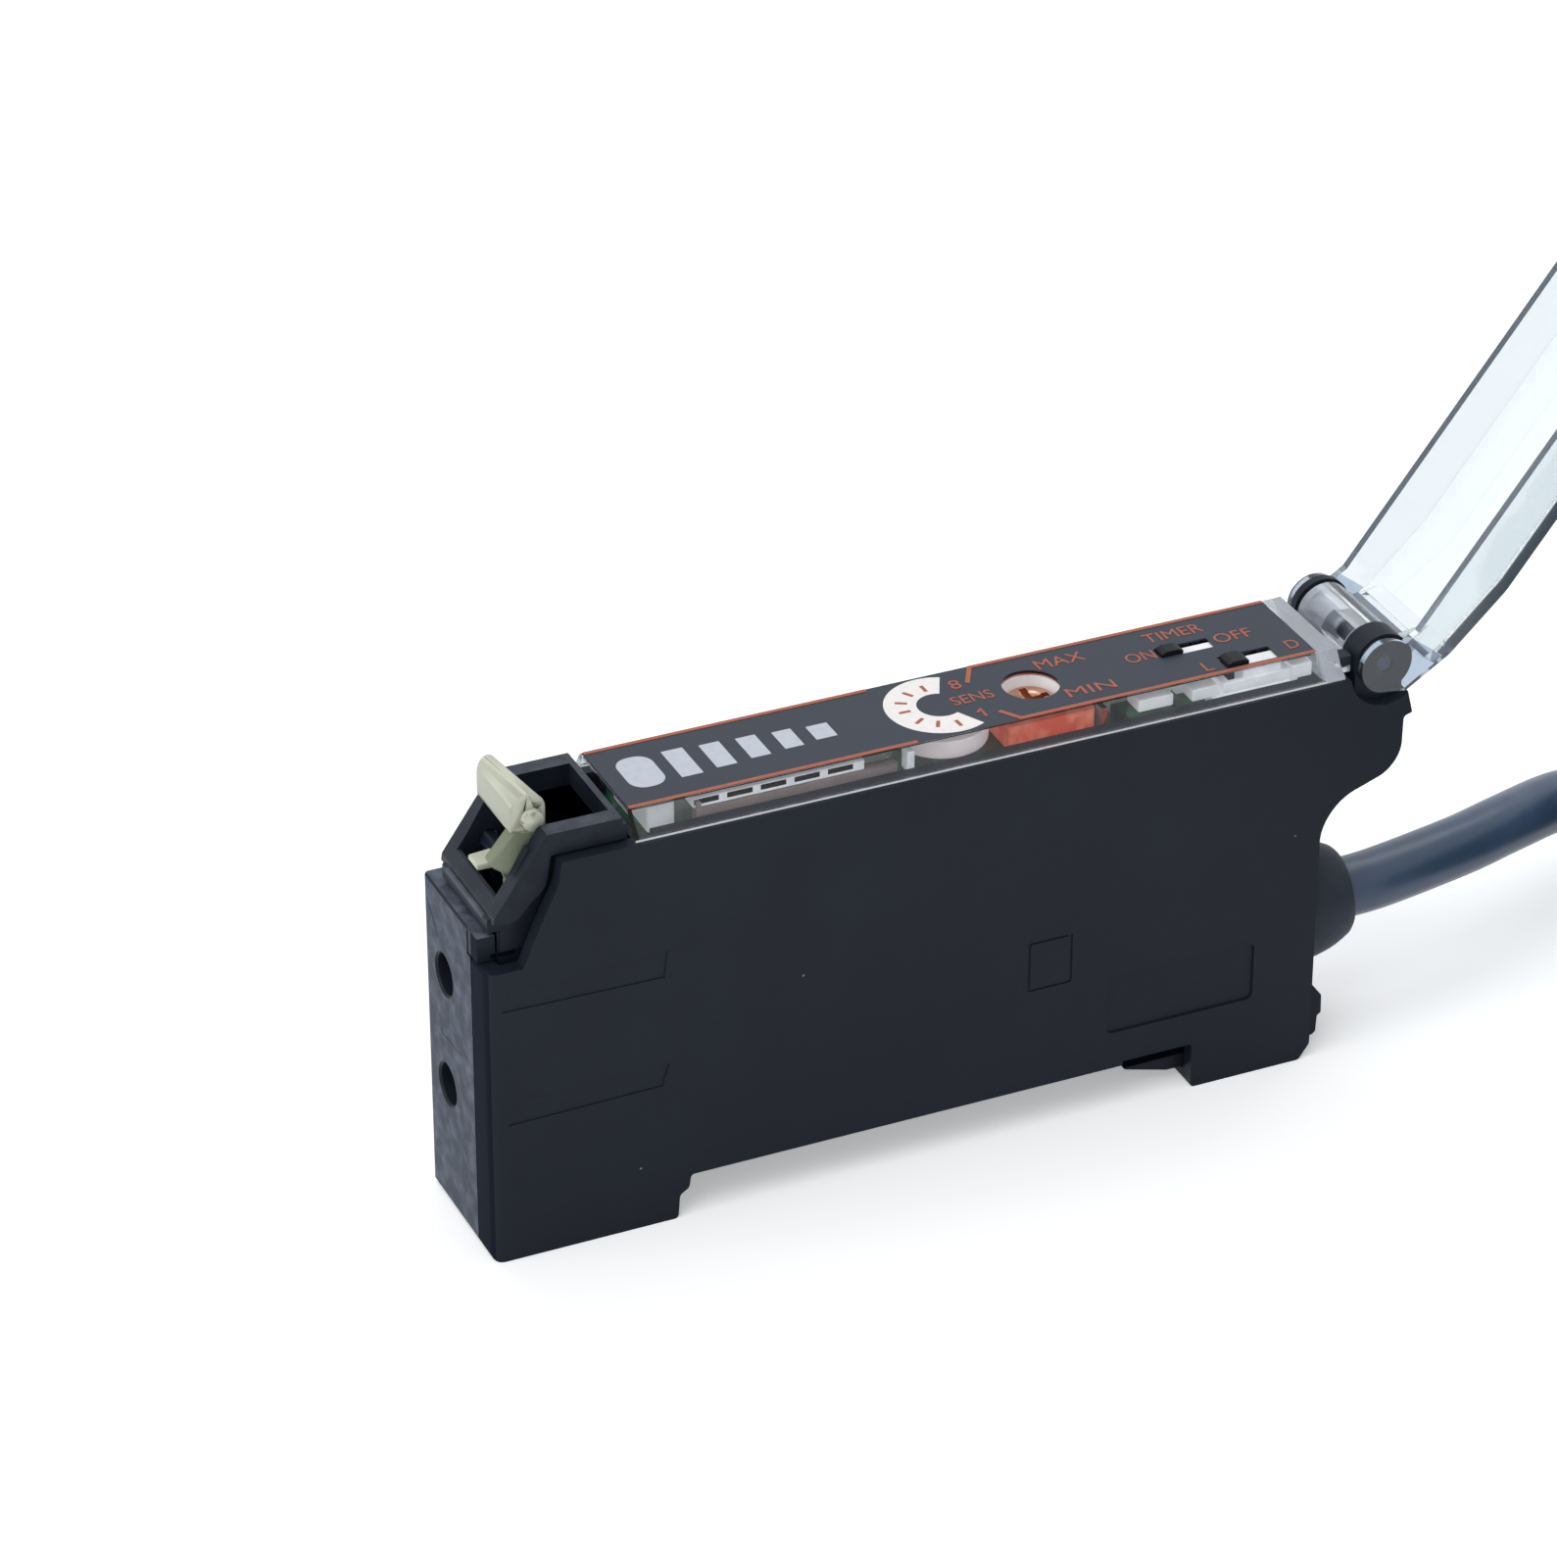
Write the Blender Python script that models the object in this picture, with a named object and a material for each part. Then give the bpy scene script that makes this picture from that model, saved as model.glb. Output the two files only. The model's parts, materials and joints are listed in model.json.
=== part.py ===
"""Fibre optic sensor amplifier that clips on a 35 mm rail, with its cover open and its cable coiled.

Sizes are in millimetres in a working frame: X runs from the fibre face to the cable, Y across the
width and Z up from the feet. The helpers turn them to metres, and the datum empty moves the whole
to its origin, the middle of the rail seat.
"""

import math

import bmesh
import bpy
from mathutils import Vector

MM = 0.001

# Clearances
GAP = 0.3        # between pieces that rest on or face each other inside
SEAM = 0.12      # fine gap of a visible joint line
RUN = 0.06       # between a pin and its hole, all round
ARC_STEP = math.radians(15)

# Case
CASE_LENGTH = 56.15
CASE_WIDTH = 10.0
DECK = 27.3      # top of the case walls, where the window stands
WALL = 1.0
FRONT_WALL = 1.2
RIM = 1.5        # width of the rim under the window
RIM_DEPTH = 1.0
PARTING = 2.5    # width of the side cover
CORNER = 0.5

# Rail slot
FRONT_FOOT = 12.25
RAIL_WIDTH = 35.4
RAIL_DEPTH = 3.0
FLANGE = 1.07    # room for the rail's edge over the hook
SHOULDER = 0.8
SEAT_STEP = 0.3  # the slot's top is higher over the hook, so that the seat ends before it

# Fibre face
FACE_TOP = 22.4
COVER_TOP = 20.6
LIP_INSET = 0.6  # the lip over the side cover starts this far in from the near side
BORE_Y = 2.0
BORE_HEIGHTS = (8.9, 16.8)
ENTRY_RADIUS = 1.5
BORE_RADIUS = 1.2

# Lever housing and lever
HOUSING_END = 9.5
HOUSING_RISE = 1.6
CHEEK_WIDTH = 1.2
PIVOT_X = 3.5
PIVOT_DROP = 2.4
TRUNNION_RADIUS = 0.6
HUB_RADIUS = 1.0
HEAD_TOP = 30.9

# Window, label and what shows through them
WINDOW_STEP = 0.8
WINDOW_RISE = 1.7
WINDOW_WALL = 0.7
LABEL_THICKNESS = 0.25
LABEL_STEP = 0.7
ADJUSTER_AT = 28.12
ADJUSTER_HOLE = 1.8
DIAL_AT = 21.92
DIAL_RADIUS = 3.1
LIGHT_AT = 2.28
LEVELS_AT = 4.92
LEVEL_PITCH = 2.29
LEVELS = 5
TIMER_FROM_END = 7.25
TIMER_SLOT = (3.7, 1.2)
TIMER_Y = 0.2
MODE_FROM_END = 4.2
MODE_SLOT = (3.6, 1.7)
MODE_Y = -2.55
KNOB_TRAVEL = 1.8
KNOB_RISE = 0.7
BOARD = 0.8
BOARD_START = 17.2  # front edge of the upright board
BLOCK_END = 12.3    # rear face of the optics block
RED_HALF = 3.0      # half size of the adjuster's body

# Protective cover and hinge
HINGE_BACK = 4.25
HINGE_RISE = 0.3
HINGE_PIN = 0.6
NECK_FRONT = 1.9
NECK_BACK = 1.3
BARREL_RADIUS = 1.9
BOSS_RADIUS = 2.2
EAR_RADIUS = 2.0
BARREL_INSET = 0.1   # the lid's barrel ends this far before the parting plane
COVER_WALL = 0.55
COVER_PLATE = 0.9
COVER_OPEN = 127.7
COVER_RISE = 3.05

# Rail slider
HOOK_REACH = 4.6
TAB = 0.9
FIELD_X = (41.4, 51.7)  # recessed field on the side cover
FIELD_Z = (5.7, 9.9)
SLIDER_FLOOR = 0.95

# Cable
CABLE_RADIUS = 2.0
CABLE_HEIGHT = 8.75
BOOT_RADIUS = 3.95
BOOT_NECK = 2.3
BOOT_LENGTH = 4.4
CORE_RADIUS = 0.6
CORE_SPREAD = 1.5
COIL_OFFSET = (46.35, -18.1)
COIL_INNER = 13.9
COIL_OUTER = 28.2
COIL_HEIGHT = 20.4
# Route of the cable by hand, with X counted from the boot's tip
ROUTE = (
    (0.0, 0.0, 8.75),
    (1.2, 0.05, 8.75),
    (2.85, 0.25, 8.75),
    (6.15, 0.85, 8.75),
    (9.85, 1.7, 8.7),
    (13.65, 2.9, 8.6),
    (18.65, 4.85, 8.0),
    (22.85, 6.2, 6.8),
    (25.9, 6.95, 5.65),
)

# Linear colours
BLACK = (0.022, 0.026, 0.034)
SLATE = (0.055, 0.066, 0.085)
CREAM = (0.58, 0.6, 0.43)
CLEAR = (0.82, 0.87, 0.9)
GREEN = (0.03, 0.16, 0.08)
WHITE = (0.75, 0.75, 0.73)
ORANGE = (0.6, 0.12, 0.05)
STEEL = (0.35, 0.36, 0.38)
BRASS = (0.6, 0.42, 0.2)
CABLE = (0.065, 0.095, 0.15)
BROWN = (0.12, 0.05, 0.03)
BLUE = (0.03, 0.1, 0.35)

# Values that follow from the ones above
HALF = CASE_WIDTH / 2
SPLIT = PARTING - HALF
BARREL_HALF = -SPLIT - BARREL_INSET
INNER = HALF - WALL
REAR_FOOT = FRONT_FOOT + RAIL_WIDTH
SEAT_X = FRONT_FOOT + RAIL_WIDTH / 2
HOUSING_TOP = DECK + HOUSING_RISE
WINDOW_FRONT = HOUSING_END + 2 * SEAM
WINDOW_BACK = CASE_LENGTH + 1.15
WINDOW_HALF = HALF - WINDOW_STEP
WINDOW_TOP = DECK + WINDOW_RISE
WINDOW_DECK = WINDOW_TOP - LABEL_THICKNESS - SEAM
WINDOW_SKIN = 0.45
LABEL_FRONT = WINDOW_FRONT + 2 * SEAM
LABEL_BACK = CASE_LENGTH - 0.15
LABEL_HALF = WINDOW_HALF - LABEL_STEP
BOARD_TOP = DECK - RIM_DEPTH - SEAM
PARTS_FLOOR = BOARD_TOP + GAP
PARTS_TOP = WINDOW_DECK - WINDOW_SKIN - 0.2
ADJUSTER_X = LABEL_FRONT + ADJUSTER_AT
DIAL_X = LABEL_FRONT + DIAL_AT
HINGE = (CASE_LENGTH + HINGE_BACK, DECK + HINGE_RISE)
CRADLE = EAR_RADIUS + 2 * GAP
EAR_INNER = WINDOW_HALF + SEAM
EAR_OUTER = EAR_INNER + COVER_WALL
PIVOT = (PIVOT_X, DECK - PIVOT_DROP)
CHEEK_INNER = WINDOW_HALF - CHEEK_WIDTH
HOUSING_FLOOR = PIVOT[1] - 2.4
CHANNEL_TOP = RAIL_DEPTH + 0.9
BOOT_FLANGE = CASE_LENGTH - WALL - GAP
BOOT_TIP = CASE_LENGTH + GAP + BOOT_LENGTH
COIL_CENTRE = (BOOT_TIP + GAP + COIL_OFFSET[0], COIL_OFFSET[1])


def to_vector(point, axis, depth):
    """Point in space, in metres, of an outline point drawn across an axis."""
    first, second = point
    places = {"x": (depth, first, second), "y": (first, depth, second), "z": (first, second, depth)}
    return Vector(places[axis]) * MM


def solid(name, mesh):
    """Object made of a bmesh, carried by the datum."""
    bmesh.ops.recalc_face_normals(mesh, faces=mesh.faces)
    data = bpy.data.meshes.new(name)
    mesh.to_mesh(data)
    mesh.free()
    data.shade_smooth()
    data.set_sharp_from_angle(angle=math.radians(30))
    obj = bpy.data.objects.new(name, data)
    bpy.context.scene.collection.objects.link(obj)
    obj.parent = bpy.data.objects["datum"]
    return obj


def arc(centre, radius, start, end):
    """Points of an arc, with its angles in degrees, from start to end."""
    steps = max(2, math.ceil(abs(math.radians(end - start)) / ARC_STEP))
    angles = [math.radians(start + (end - start) * k / steps) for k in range(steps + 1)]
    return [(centre[0] + radius * math.cos(a), centre[1] + radius * math.sin(a)) for a in angles]


def outline(*corners):
    """Closed outline through corners (a, b) or (a, b, radius), where a radius rounds the corner."""
    points = []
    for i, corner in enumerate(corners):
        here = Vector(corner[:2])
        if len(corner) == 2:
            points.append(tuple(here))
            continue
        before = (Vector(corners[i - 1][:2]) - here).normalized()
        after = (Vector(corners[(i + 1) % len(corners)][:2]) - here).normalized()
        half = before.angle(after) / 2
        centre = here + (before + after).normalized() * corner[2] / math.sin(half)
        reach = corner[2] / math.tan(half)
        start = here + before * reach - centre
        end = here + after * reach - centre
        first = math.degrees(math.atan2(start.y, start.x))
        sweep = math.degrees(math.atan2(start.x * end.y - start.y * end.x, start.dot(end)))
        points.extend(arc(centre, corner[2], first, first + sweep))
    return points


def prism(name, points, axis, low, high):
    """Solid of an outline across axis x, y or z, drawn as (y, z), (x, z) or (x, y)."""
    mesh = bmesh.new()
    face = mesh.faces.new([mesh.verts.new(to_vector(p, axis, low)) for p in points])
    grown = bmesh.ops.extrude_face_region(mesh, geom=[face])["geom"]
    moved = [item for item in grown if isinstance(item, bmesh.types.BMVert)]
    bmesh.ops.translate(mesh, verts=moved, vec=to_vector((0, 0), axis, high - low))
    return solid(name, mesh)


def box(name, x, y, z):
    """Block between two values on each axis."""
    return prism(name, [(x[0], y[0]), (x[1], y[0]), (x[1], y[1]), (x[0], y[1])], "z", *z)


def turned(name, profile, axis, centre, steps=24):
    """Solid turned from (distance, radius) points, and a ring where none is on the axis."""
    ring = all(radius > 0 for _, radius in profile)
    mesh = bmesh.new()
    verts = []
    for distance, radius in profile:
        offset = (centre[0] + radius, centre[1])
        verts.append(mesh.verts.new(to_vector(offset, axis, distance)))
    pairs = list(zip(verts, verts[1:])) + ([(verts[-1], verts[0])] if ring else [])
    edges = [mesh.edges.new(pair) for pair in pairs]
    directions = {"x": (1, 0, 0), "y": (0, 1, 0), "z": (0, 0, 1)}
    bmesh.ops.spin(
        mesh,
        geom=verts + edges,
        cent=to_vector(centre, axis, 0),
        axis=directions[axis],
        angle=2 * math.pi,
        steps=steps,
        use_merge=True,
    )
    bmesh.ops.remove_doubles(mesh, verts=mesh.verts, dist=1e-7)
    return solid(name, mesh)


def rod(name, axis, centre, radius, low, high, steps=24):
    """Round bar along an axis."""
    return turned(name, [(low, 0), (low, radius), (high, radius), (high, 0)], axis, centre, steps)


def combine(target, operation, tools):
    """Booleans of the target with each tool, which follows the target and doesn't render."""
    for tool in tools:
        modifier = target.modifiers.new(tool.name, "BOOLEAN")
        modifier.operation = operation
        modifier.solver = "EXACT"
        modifier.object = tool
        tool.parent = target
        tool.hide_render = True
        tool.display_type = "WIRE"
    return target


def cut(target, *tools):
    """Target without its tools."""
    return combine(target, "DIFFERENCE", tools)


def join(target, *tools):
    """Target with its tools made one with it."""
    return combine(target, "UNION", tools)


def finish(obj, colour, roughness, metallic=0.0, alpha=1.0):
    """Gives the piece its own Principled material, with a linear colour."""
    material = bpy.data.materials.new(obj.name)
    material.use_nodes = True
    shader = material.node_tree.nodes["Principled BSDF"]
    shader.inputs["Base Color"].default_value = (*colour, 1.0)
    shader.inputs["Roughness"].default_value = roughness
    shader.inputs["Metallic"].default_value = metallic
    shader.inputs["Alpha"].default_value = alpha
    material.diffuse_color = (*colour, alpha)
    obj.data.materials.append(material)
    return obj


def hang(name, pivot, piece, turn=0.0):
    """Empty on a joint's axis, under the datum, that carries a moving piece turned about Y."""
    empty = bpy.data.objects.new(name, None)
    bpy.context.scene.collection.objects.link(empty)
    empty.parent = bpy.data.objects["datum"]
    empty.location = Vector(pivot) * MM
    empty.rotation_euler.y = math.radians(turn)
    piece.parent = empty
    piece.location = Vector(pivot) * -MM
    return piece


def case_profile(front_top):
    """Side outline of the case, with the front's top at the given height."""
    slant_x = 2.4 + (front_top - COVER_TOP) * 0.4
    foot_top = RAIL_DEPTH - SHOULDER
    seat_end = REAR_FOOT - HOOK_REACH - GAP
    cradle = arc(HINGE, CRADLE, -60, -172)
    return outline(
        (0, 0, CORNER),
        (FRONT_FOOT, 0, 0.3),
        (FRONT_FOOT, foot_top - 0.4, 0.2),
        (FRONT_FOOT + SHOULDER, foot_top),
        (FRONT_FOOT + SHOULDER, RAIL_DEPTH, 0.2),
        (seat_end, RAIL_DEPTH),
        (seat_end, RAIL_DEPTH + SEAT_STEP),
        (REAR_FOOT, RAIL_DEPTH + SEAT_STEP, 0.2),
        (REAR_FOOT, 0, 0.3),
        (CASE_LENGTH - 0.75, 0, 0.3),
        (CASE_LENGTH, 1.0, 0.3),
        (CASE_LENGTH, DECK - 8.95, 3.2),
        (CASE_LENGTH + 5.55, DECK - 7.0, 2.2),
        (CASE_LENGTH + 5.55, DECK - 3.5),
        (CASE_LENGTH + 6.1, DECK - 3.3),
        (CASE_LENGTH + 5.8, DECK - 2.1),
        *cradle,
        (cradle[-1][0] - 0.2, DECK),
        (4.98, DECK),
        (4.45, DECK - 2.1, 2.0),
        (slant_x, front_top),
        (0, front_top, 0.2),
    )


def case_tools(name, near, far, rim_near, rim_far):
    """Cutters for the hollow of one half of the case: hollow, window opening and slider channel."""
    hollow = outline(
        (FRONT_WALL, WALL, CORNER),
        (FRONT_FOOT - WALL, WALL, 0.3),
        (FRONT_FOOT - WALL, RAIL_DEPTH + WALL),
        (REAR_FOOT - WALL, RAIL_DEPTH + WALL),
        (REAR_FOOT - WALL, CHANNEL_TOP + WALL),
        (CASE_LENGTH - WALL, CHANNEL_TOP + WALL, 0.3),
        (CASE_LENGTH - WALL, DECK - RIM_DEPTH, 0.4),
        (WINDOW_FRONT, DECK - RIM_DEPTH),
        (WINDOW_FRONT, DECK + 5),
        (FRONT_WALL, DECK + 5),
    )
    opening = (WINDOW_FRONT + 0.8, CASE_LENGTH - 1.2)
    past = CASE_LENGTH + 2
    return (
        prism(name + "_hollow", hollow, "y", near, far),
        box(name + "_window", opening, (rim_near, rim_far), (DECK - 2, DECK + 2)),
        box(name + "_channel", (REAR_FOOT - 1.5, past), (near, far), (0.8, CHANNEL_TOP)),
        rod(name + "_exit", "x", (0, CABLE_HEIGHT), BOOT_NECK + GAP, CASE_LENGTH - 2, past),
    )


def hinge_boss(name, low, high):
    """Boss with its neck that carries the hinge pin, between two values of Y."""
    x, z = HINGE
    boss = rod(name, "y", HINGE, BOSS_RADIUS, low, high, 28)
    neck = box(name + "_neck", (x - NECK_FRONT, x + NECK_BACK), (low, high), (z - 4, z))
    return join(boss, neck)


def case_shell():
    """Far wall, fibre face, feet and rear wall, moulded in one."""
    shell = prism("case_shell", case_profile(FACE_TOP), "y", SPLIT, HALF)
    lip = box("shell_lip", (0, FRONT_WALL), (LIP_INSET - HALF, SPLIT + 1), (COVER_TOP + SEAM, FACE_TOP))
    post = hinge_boss("shell_boss", BARREL_HALF + GAP, EAR_INNER - SEAM)
    cut(shell, *case_tools("shell", SPLIT - 3, INNER, SPLIT - 3, HALF - RIM))
    join(shell, lip, post)
    for number, height in enumerate(BORE_HEIGHTS):
        entry = turned(
            f"shell_entry_{number}",
            [(-1, 0), (-1, ENTRY_RADIUS + 1), (0.25, ENTRY_RADIUS), (3, ENTRY_RADIUS), (3, 0)],
            "x",
            (BORE_Y, height),
            20,
        )
        cut(shell, entry)
    cut(shell, rod("shell_pin_hole", "y", HINGE, HINGE_PIN + RUN, 0, HALF + 1, 16))
    return finish(shell, BLACK, 0.5)


def side_cover():
    """Near wall of the case, with its recessed field."""
    near = -HALF
    cover = prism("side_cover", case_profile(COVER_TOP), "y", near, SPLIT - SEAM)
    post = hinge_boss("cover_boss", SEAM - EAR_INNER, -BARREL_HALF - GAP)
    cut(cover, *case_tools("cover", -INNER, SPLIT + 1, RIM - HALF, SPLIT + 1))
    join(cover, post)
    cut(cover, box("cover_field", FIELD_X, (near - 1, near + 0.2), FIELD_Z))
    cut(cover, rod("cover_pin_hole", "y", HINGE, HINGE_PIN + RUN, near - 1, 0, 16))
    return finish(cover, BLACK, 0.5)


def lever_housing():
    """Open housing with two sloping cheeks that holds the lock lever."""
    front = 0.75
    base_half = WINDOW_HALF - 0.6
    bearing = WINDOW_HALF - 0.4
    stem_room = (PIVOT_X - 0.9, PIVOT_X + 0.9)
    base = outline(
        (FRONT_WALL + GAP, FACE_TOP - 1.2),
        (HOUSING_END - SEAM, FACE_TOP - 1.2),
        (HOUSING_END - SEAM, DECK + 0.5),
        (3.4, DECK + 0.5),
        (1.6, FACE_TOP + 2.3),
        (1.25, FACE_TOP + 1.4),
        (front, FACE_TOP + 1.2),
        (front, FACE_TOP + GAP),
        (FRONT_WALL + GAP, FACE_TOP + GAP),
    )
    cheeks = outline(
        (HOUSING_END, DECK + SEAM),
        (HOUSING_END, HOUSING_TOP, 0.2),
        (4.35, HOUSING_TOP, 0.3),
        (0.93, FACE_TOP + 1.5, 0.2),
        (0.85, FACE_TOP + 1.05),
        (2.4, FACE_TOP + 1.05, 1.2),
        (4.2, DECK - 1.9, 1.2),
        (4.6, DECK + SEAM),
    )
    pocket = outline(
        (1.95, HOUSING_FLOOR),
        (HOUSING_END - 0.6, HOUSING_FLOOR, 0.3),
        (HOUSING_END - 0.6, HOUSING_TOP + 2),
        (-1, HOUSING_TOP + 2),
        (-1, FACE_TOP + 2.3),
        (1.7, FACE_TOP + 2.3),
    )
    housing = prism("lever_housing", base, "y", -base_half, base_half)
    join(housing, prism("housing_cheeks", cheeks, "y", -WINDOW_HALF, WINDOW_HALF))
    cut(
        housing,
        prism("housing_pocket", pocket, "y", -CHEEK_INNER, CHEEK_INNER),
        rod("housing_trunnions", "y", PIVOT, TRUNNION_RADIUS + RUN, -bearing, bearing, 16),
        box("housing_stem_hole", stem_room, (0.6, 2.9), (FACE_TOP - 3, HOUSING_FLOOR + 1)),
    )
    return finish(housing, BLACK, 0.4)


def lock_lever():
    """Cream lever, raised: grip bar, side web and hub over the clamp's stem."""
    x, z = PIVOT
    half = CHEEK_INNER - 0.2
    pin_half = WINDOW_HALF - 0.6
    grip = outline(
        (2.75, HEAD_TOP - 2.6, 0.5),
        (5.1, HEAD_TOP - 2.6, 0.5),
        (5.1, HEAD_TOP, 1.1),
        (2.75, HEAD_TOP, 1.1),
    )
    web = outline(
        (2.75, z - 0.4),
        (1.45, z + 1.7, 0.4),
        (2.8, HEAD_TOP - 1.8),
        (4.9, HEAD_TOP - 1.8),
        (4.3, z),
    )
    lever = prism("lock_lever", grip, "y", -half, half)
    join(
        lever,
        prism("lever_web", web, "y", -half, 1.3 - half),
        rod("lever_hub", "y", PIVOT, HUB_RADIUS, -half, half, 20),
        rod("lever_trunnions", "y", PIVOT, TRUNNION_RADIUS, -pin_half, pin_half, 16),
    )
    return hang("lever_pivot", (x, 0, z), finish(lever, CREAM, 0.45))


def fibre_clamp():
    """Plate round both fibres, with a stem under the lever's hub, raised and so open."""
    low = FACE_TOP - 2.0
    thick = (PIVOT_X - 0.6, PIVOT_X + 0.6)
    plate = box("fibre_clamp", thick, (BORE_Y - 1.6, BORE_Y + 1.5), (6.2, low))
    stem = box("clamp_stem", thick, (0.9, 2.6), (low - 1, PIVOT[1] - HUB_RADIUS - GAP))
    join(plate, stem)
    for number, height in enumerate(BORE_HEIGHTS):
        cut(plate, rod(f"clamp_hole_{number}", "x", (BORE_Y, height), BORE_RADIUS + 0.05, 0, 9, 20))
    return hang("clamp_guide", (PIVOT_X, BORE_Y, low), finish(plate, STEEL, 0.4, 0.8))


def optics_block():
    """Block with the two fibre bores and the slot of the clamp."""
    height = (5.0, FACE_TOP - 1.2 - GAP)
    block = box("optics_block", (FRONT_WALL + GAP, BLOCK_END), (-1.5, INNER - GAP), height)
    for number, bore in enumerate(BORE_HEIGHTS):
        cut(block, rod(f"optics_bore_{number}", "x", (BORE_Y, bore), BORE_RADIUS, 0, 20, 20))
    slot = box("optics_slot", (PIVOT_X - 0.8, PIVOT_X + 0.8), (0.2, HALF), (5.2, FACE_TOP + 2))
    return finish(cut(block, slot), SLATE, 0.5)


def light_source(name, height):
    """Round-nosed diode behind a fibre bore."""
    dome = [(0.3, 0), (0.45, 0.7), (1.0, 1.2), (1.9, 1.4)]
    base = [(3.3, 1.4), (3.3, 1.7), (4.1, 1.7), (4.1, 0)]
    profile = [(BLOCK_END + distance, radius) for distance, radius in dome + base]
    return turned(name, profile, "x", (BORE_Y, height), 16)


def display_window():
    """Clear block that closes the case's top and carries the label."""
    x = (WINDOW_FRONT, WINDOW_BACK)
    block = outline(
        (x[0], -WINDOW_HALF, 0.2),
        (x[1], -WINDOW_HALF, 0.2),
        (x[1], WINDOW_HALF, 0.2),
        (x[0], WINDOW_HALF, 0.2),
    )
    inner = WINDOW_HALF - WINDOW_WALL
    window = prism("display_window", block, "z", DECK + SEAM, WINDOW_TOP)
    half = LABEL_HALF + SEAM / 2
    recess_x = (LABEL_FRONT - SEAM, LABEL_BACK + SEAM)
    ceiling = WINDOW_DECK - WINDOW_SKIN
    cut(
        window,
        box("window_hollow", (x[0] + 0.8, CASE_LENGTH), (-inner, inner), (DECK - 1, ceiling)),
        box("window_recess", recess_x, (-half, half), (WINDOW_DECK, WINDOW_TOP + 1)),
        *top_holes("window", 0.1),
    )
    return finish(window, CLEAR, 0.08, alpha=0.35)


def top_holes(name, extra):
    """Cutters for the adjuster hole and both switch slots, each wider by extra all round."""
    timer_x = LABEL_BACK - TIMER_FROM_END
    mode_x = LABEL_BACK - MODE_FROM_END
    slots = ((timer_x, TIMER_Y, TIMER_SLOT), (mode_x, MODE_Y, MODE_SLOT))
    z = (DECK - 1, WINDOW_TOP + 1)
    tools = [rod(name + "_adjuster_hole", "z", (ADJUSTER_X, 0), ADJUSTER_HOLE + extra, *z)]
    for number, (x, y, size) in enumerate(slots):
        across = (x - size[0] / 2 - extra, x + size[0] / 2 + extra)
        along = (y - size[1] / 2 - extra, y + size[1] / 2 + extra)
        tools.append(box(f"{name}_slot_{number}", across, along, z))
    return tools


def label_panel():
    """Dark printed film on the window, with the holes for screwdriver and knobs."""
    film = outline(
        (LABEL_FRONT, -LABEL_HALF, 0.2),
        (LABEL_BACK, -LABEL_HALF, 0.2),
        (LABEL_BACK, LABEL_HALF, 0.2),
        (LABEL_FRONT, LABEL_HALF, 0.2),
    )
    panel = prism("label_panel", film, "z", WINDOW_TOP - LABEL_THICKNESS, WINDOW_TOP)
    return finish(cut(panel, *top_holes("label", 0)), SLATE, 0.5)


def boards():
    """Upright main board and the flat display board over it."""
    low = BOARD_TOP - BOARD
    reach = INNER - GAP
    upright = (CHANNEL_TOP + WALL + 0.4, low - GAP)
    main = box("main_board", (BOARD_START, BOOT_FLANGE - 1 - GAP), (1.9, 2.9), upright)
    flat_x = (WINDOW_FRONT + 1, CASE_LENGTH - 1.5)
    flat = box("display_board", flat_x, (-reach, reach), (low, BOARD_TOP))
    return finish(main, GREEN, 0.4), finish(flat, GREEN, 0.4)


def lights():
    """Operation light and the row of level lights on the display board."""
    z = (PARTS_FLOOR, PARTS_TOP - 0.3)
    first = LABEL_FRONT + LEVELS_AT
    middle = LABEL_FRONT + LIGHT_AT
    made = [box("operation_led", (middle - 0.9, middle + 0.9), (-1.6, 1.6), z)]
    for number in range(LEVELS):
        x = first + number * LEVEL_PITCH
        made.append(box(f"level_led_{number + 1}", (x - 0.65, x + 0.65), (-1.2, 1.2), z))
    return [finish(light, WHITE, 0.3) for light in made]


def adjuster():
    """Body of the adjuster, its slotted screw and the dial that it turns."""
    x = ADJUSTER_X
    body_x = (x - RED_HALF + 0.1, x + RED_HALF)
    body = box("adjuster_body", body_x, (-RED_HALF, RED_HALF), (PARTS_FLOOR, PARTS_TOP))
    well = (PARTS_FLOOR + 0.4, DECK + 5)
    cut(body, rod("adjuster_well", "z", (x, 0), ADJUSTER_HOLE + 0.1, *well))
    shank = (PARTS_FLOOR + 0.7, WINDOW_DECK)
    screw = rod("adjuster_screw", "z", (x, 0), ADJUSTER_HOLE - 0.15, *shank)
    depth = (WINDOW_DECK - 0.7, WINDOW_DECK + 1)
    cut(
        screw,
        box("screw_slot_a", (x - 1.3, x + 1.3), (-0.25, 0.25), depth),
        box("screw_slot_b", (x - 0.25, x + 0.25), (-1.3, 1.3), depth),
    )
    top = PARTS_TOP - 0.1
    spindle = [
        (PARTS_FLOOR, 0),
        (PARTS_FLOOR, 0.7),
        (top - 0.6, 0.7),
        (top - 0.6, DIAL_RADIUS),
        (top, DIAL_RADIUS),
        (top, 0),
    ]
    dial = turned("indicator_dial", spindle, "z", (DIAL_X, 0), 36)
    mark = (DIAL_X + 1.5, DIAL_X + DIAL_RADIUS + 1)
    pointer = box("dial_pointer", mark, (-0.2, 0.2), (top - 0.2, top + 1))
    cut(dial, pointer)
    return (
        finish(body, ORANGE, 0.35),
        hang("adjuster_axis", (ADJUSTER_X, 0, WINDOW_DECK), finish(screw, BRASS, 0.3, 0.9)),
        hang("dial_axis", (DIAL_X, 0, top), finish(dial, WHITE, 0.4)),
    )


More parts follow.
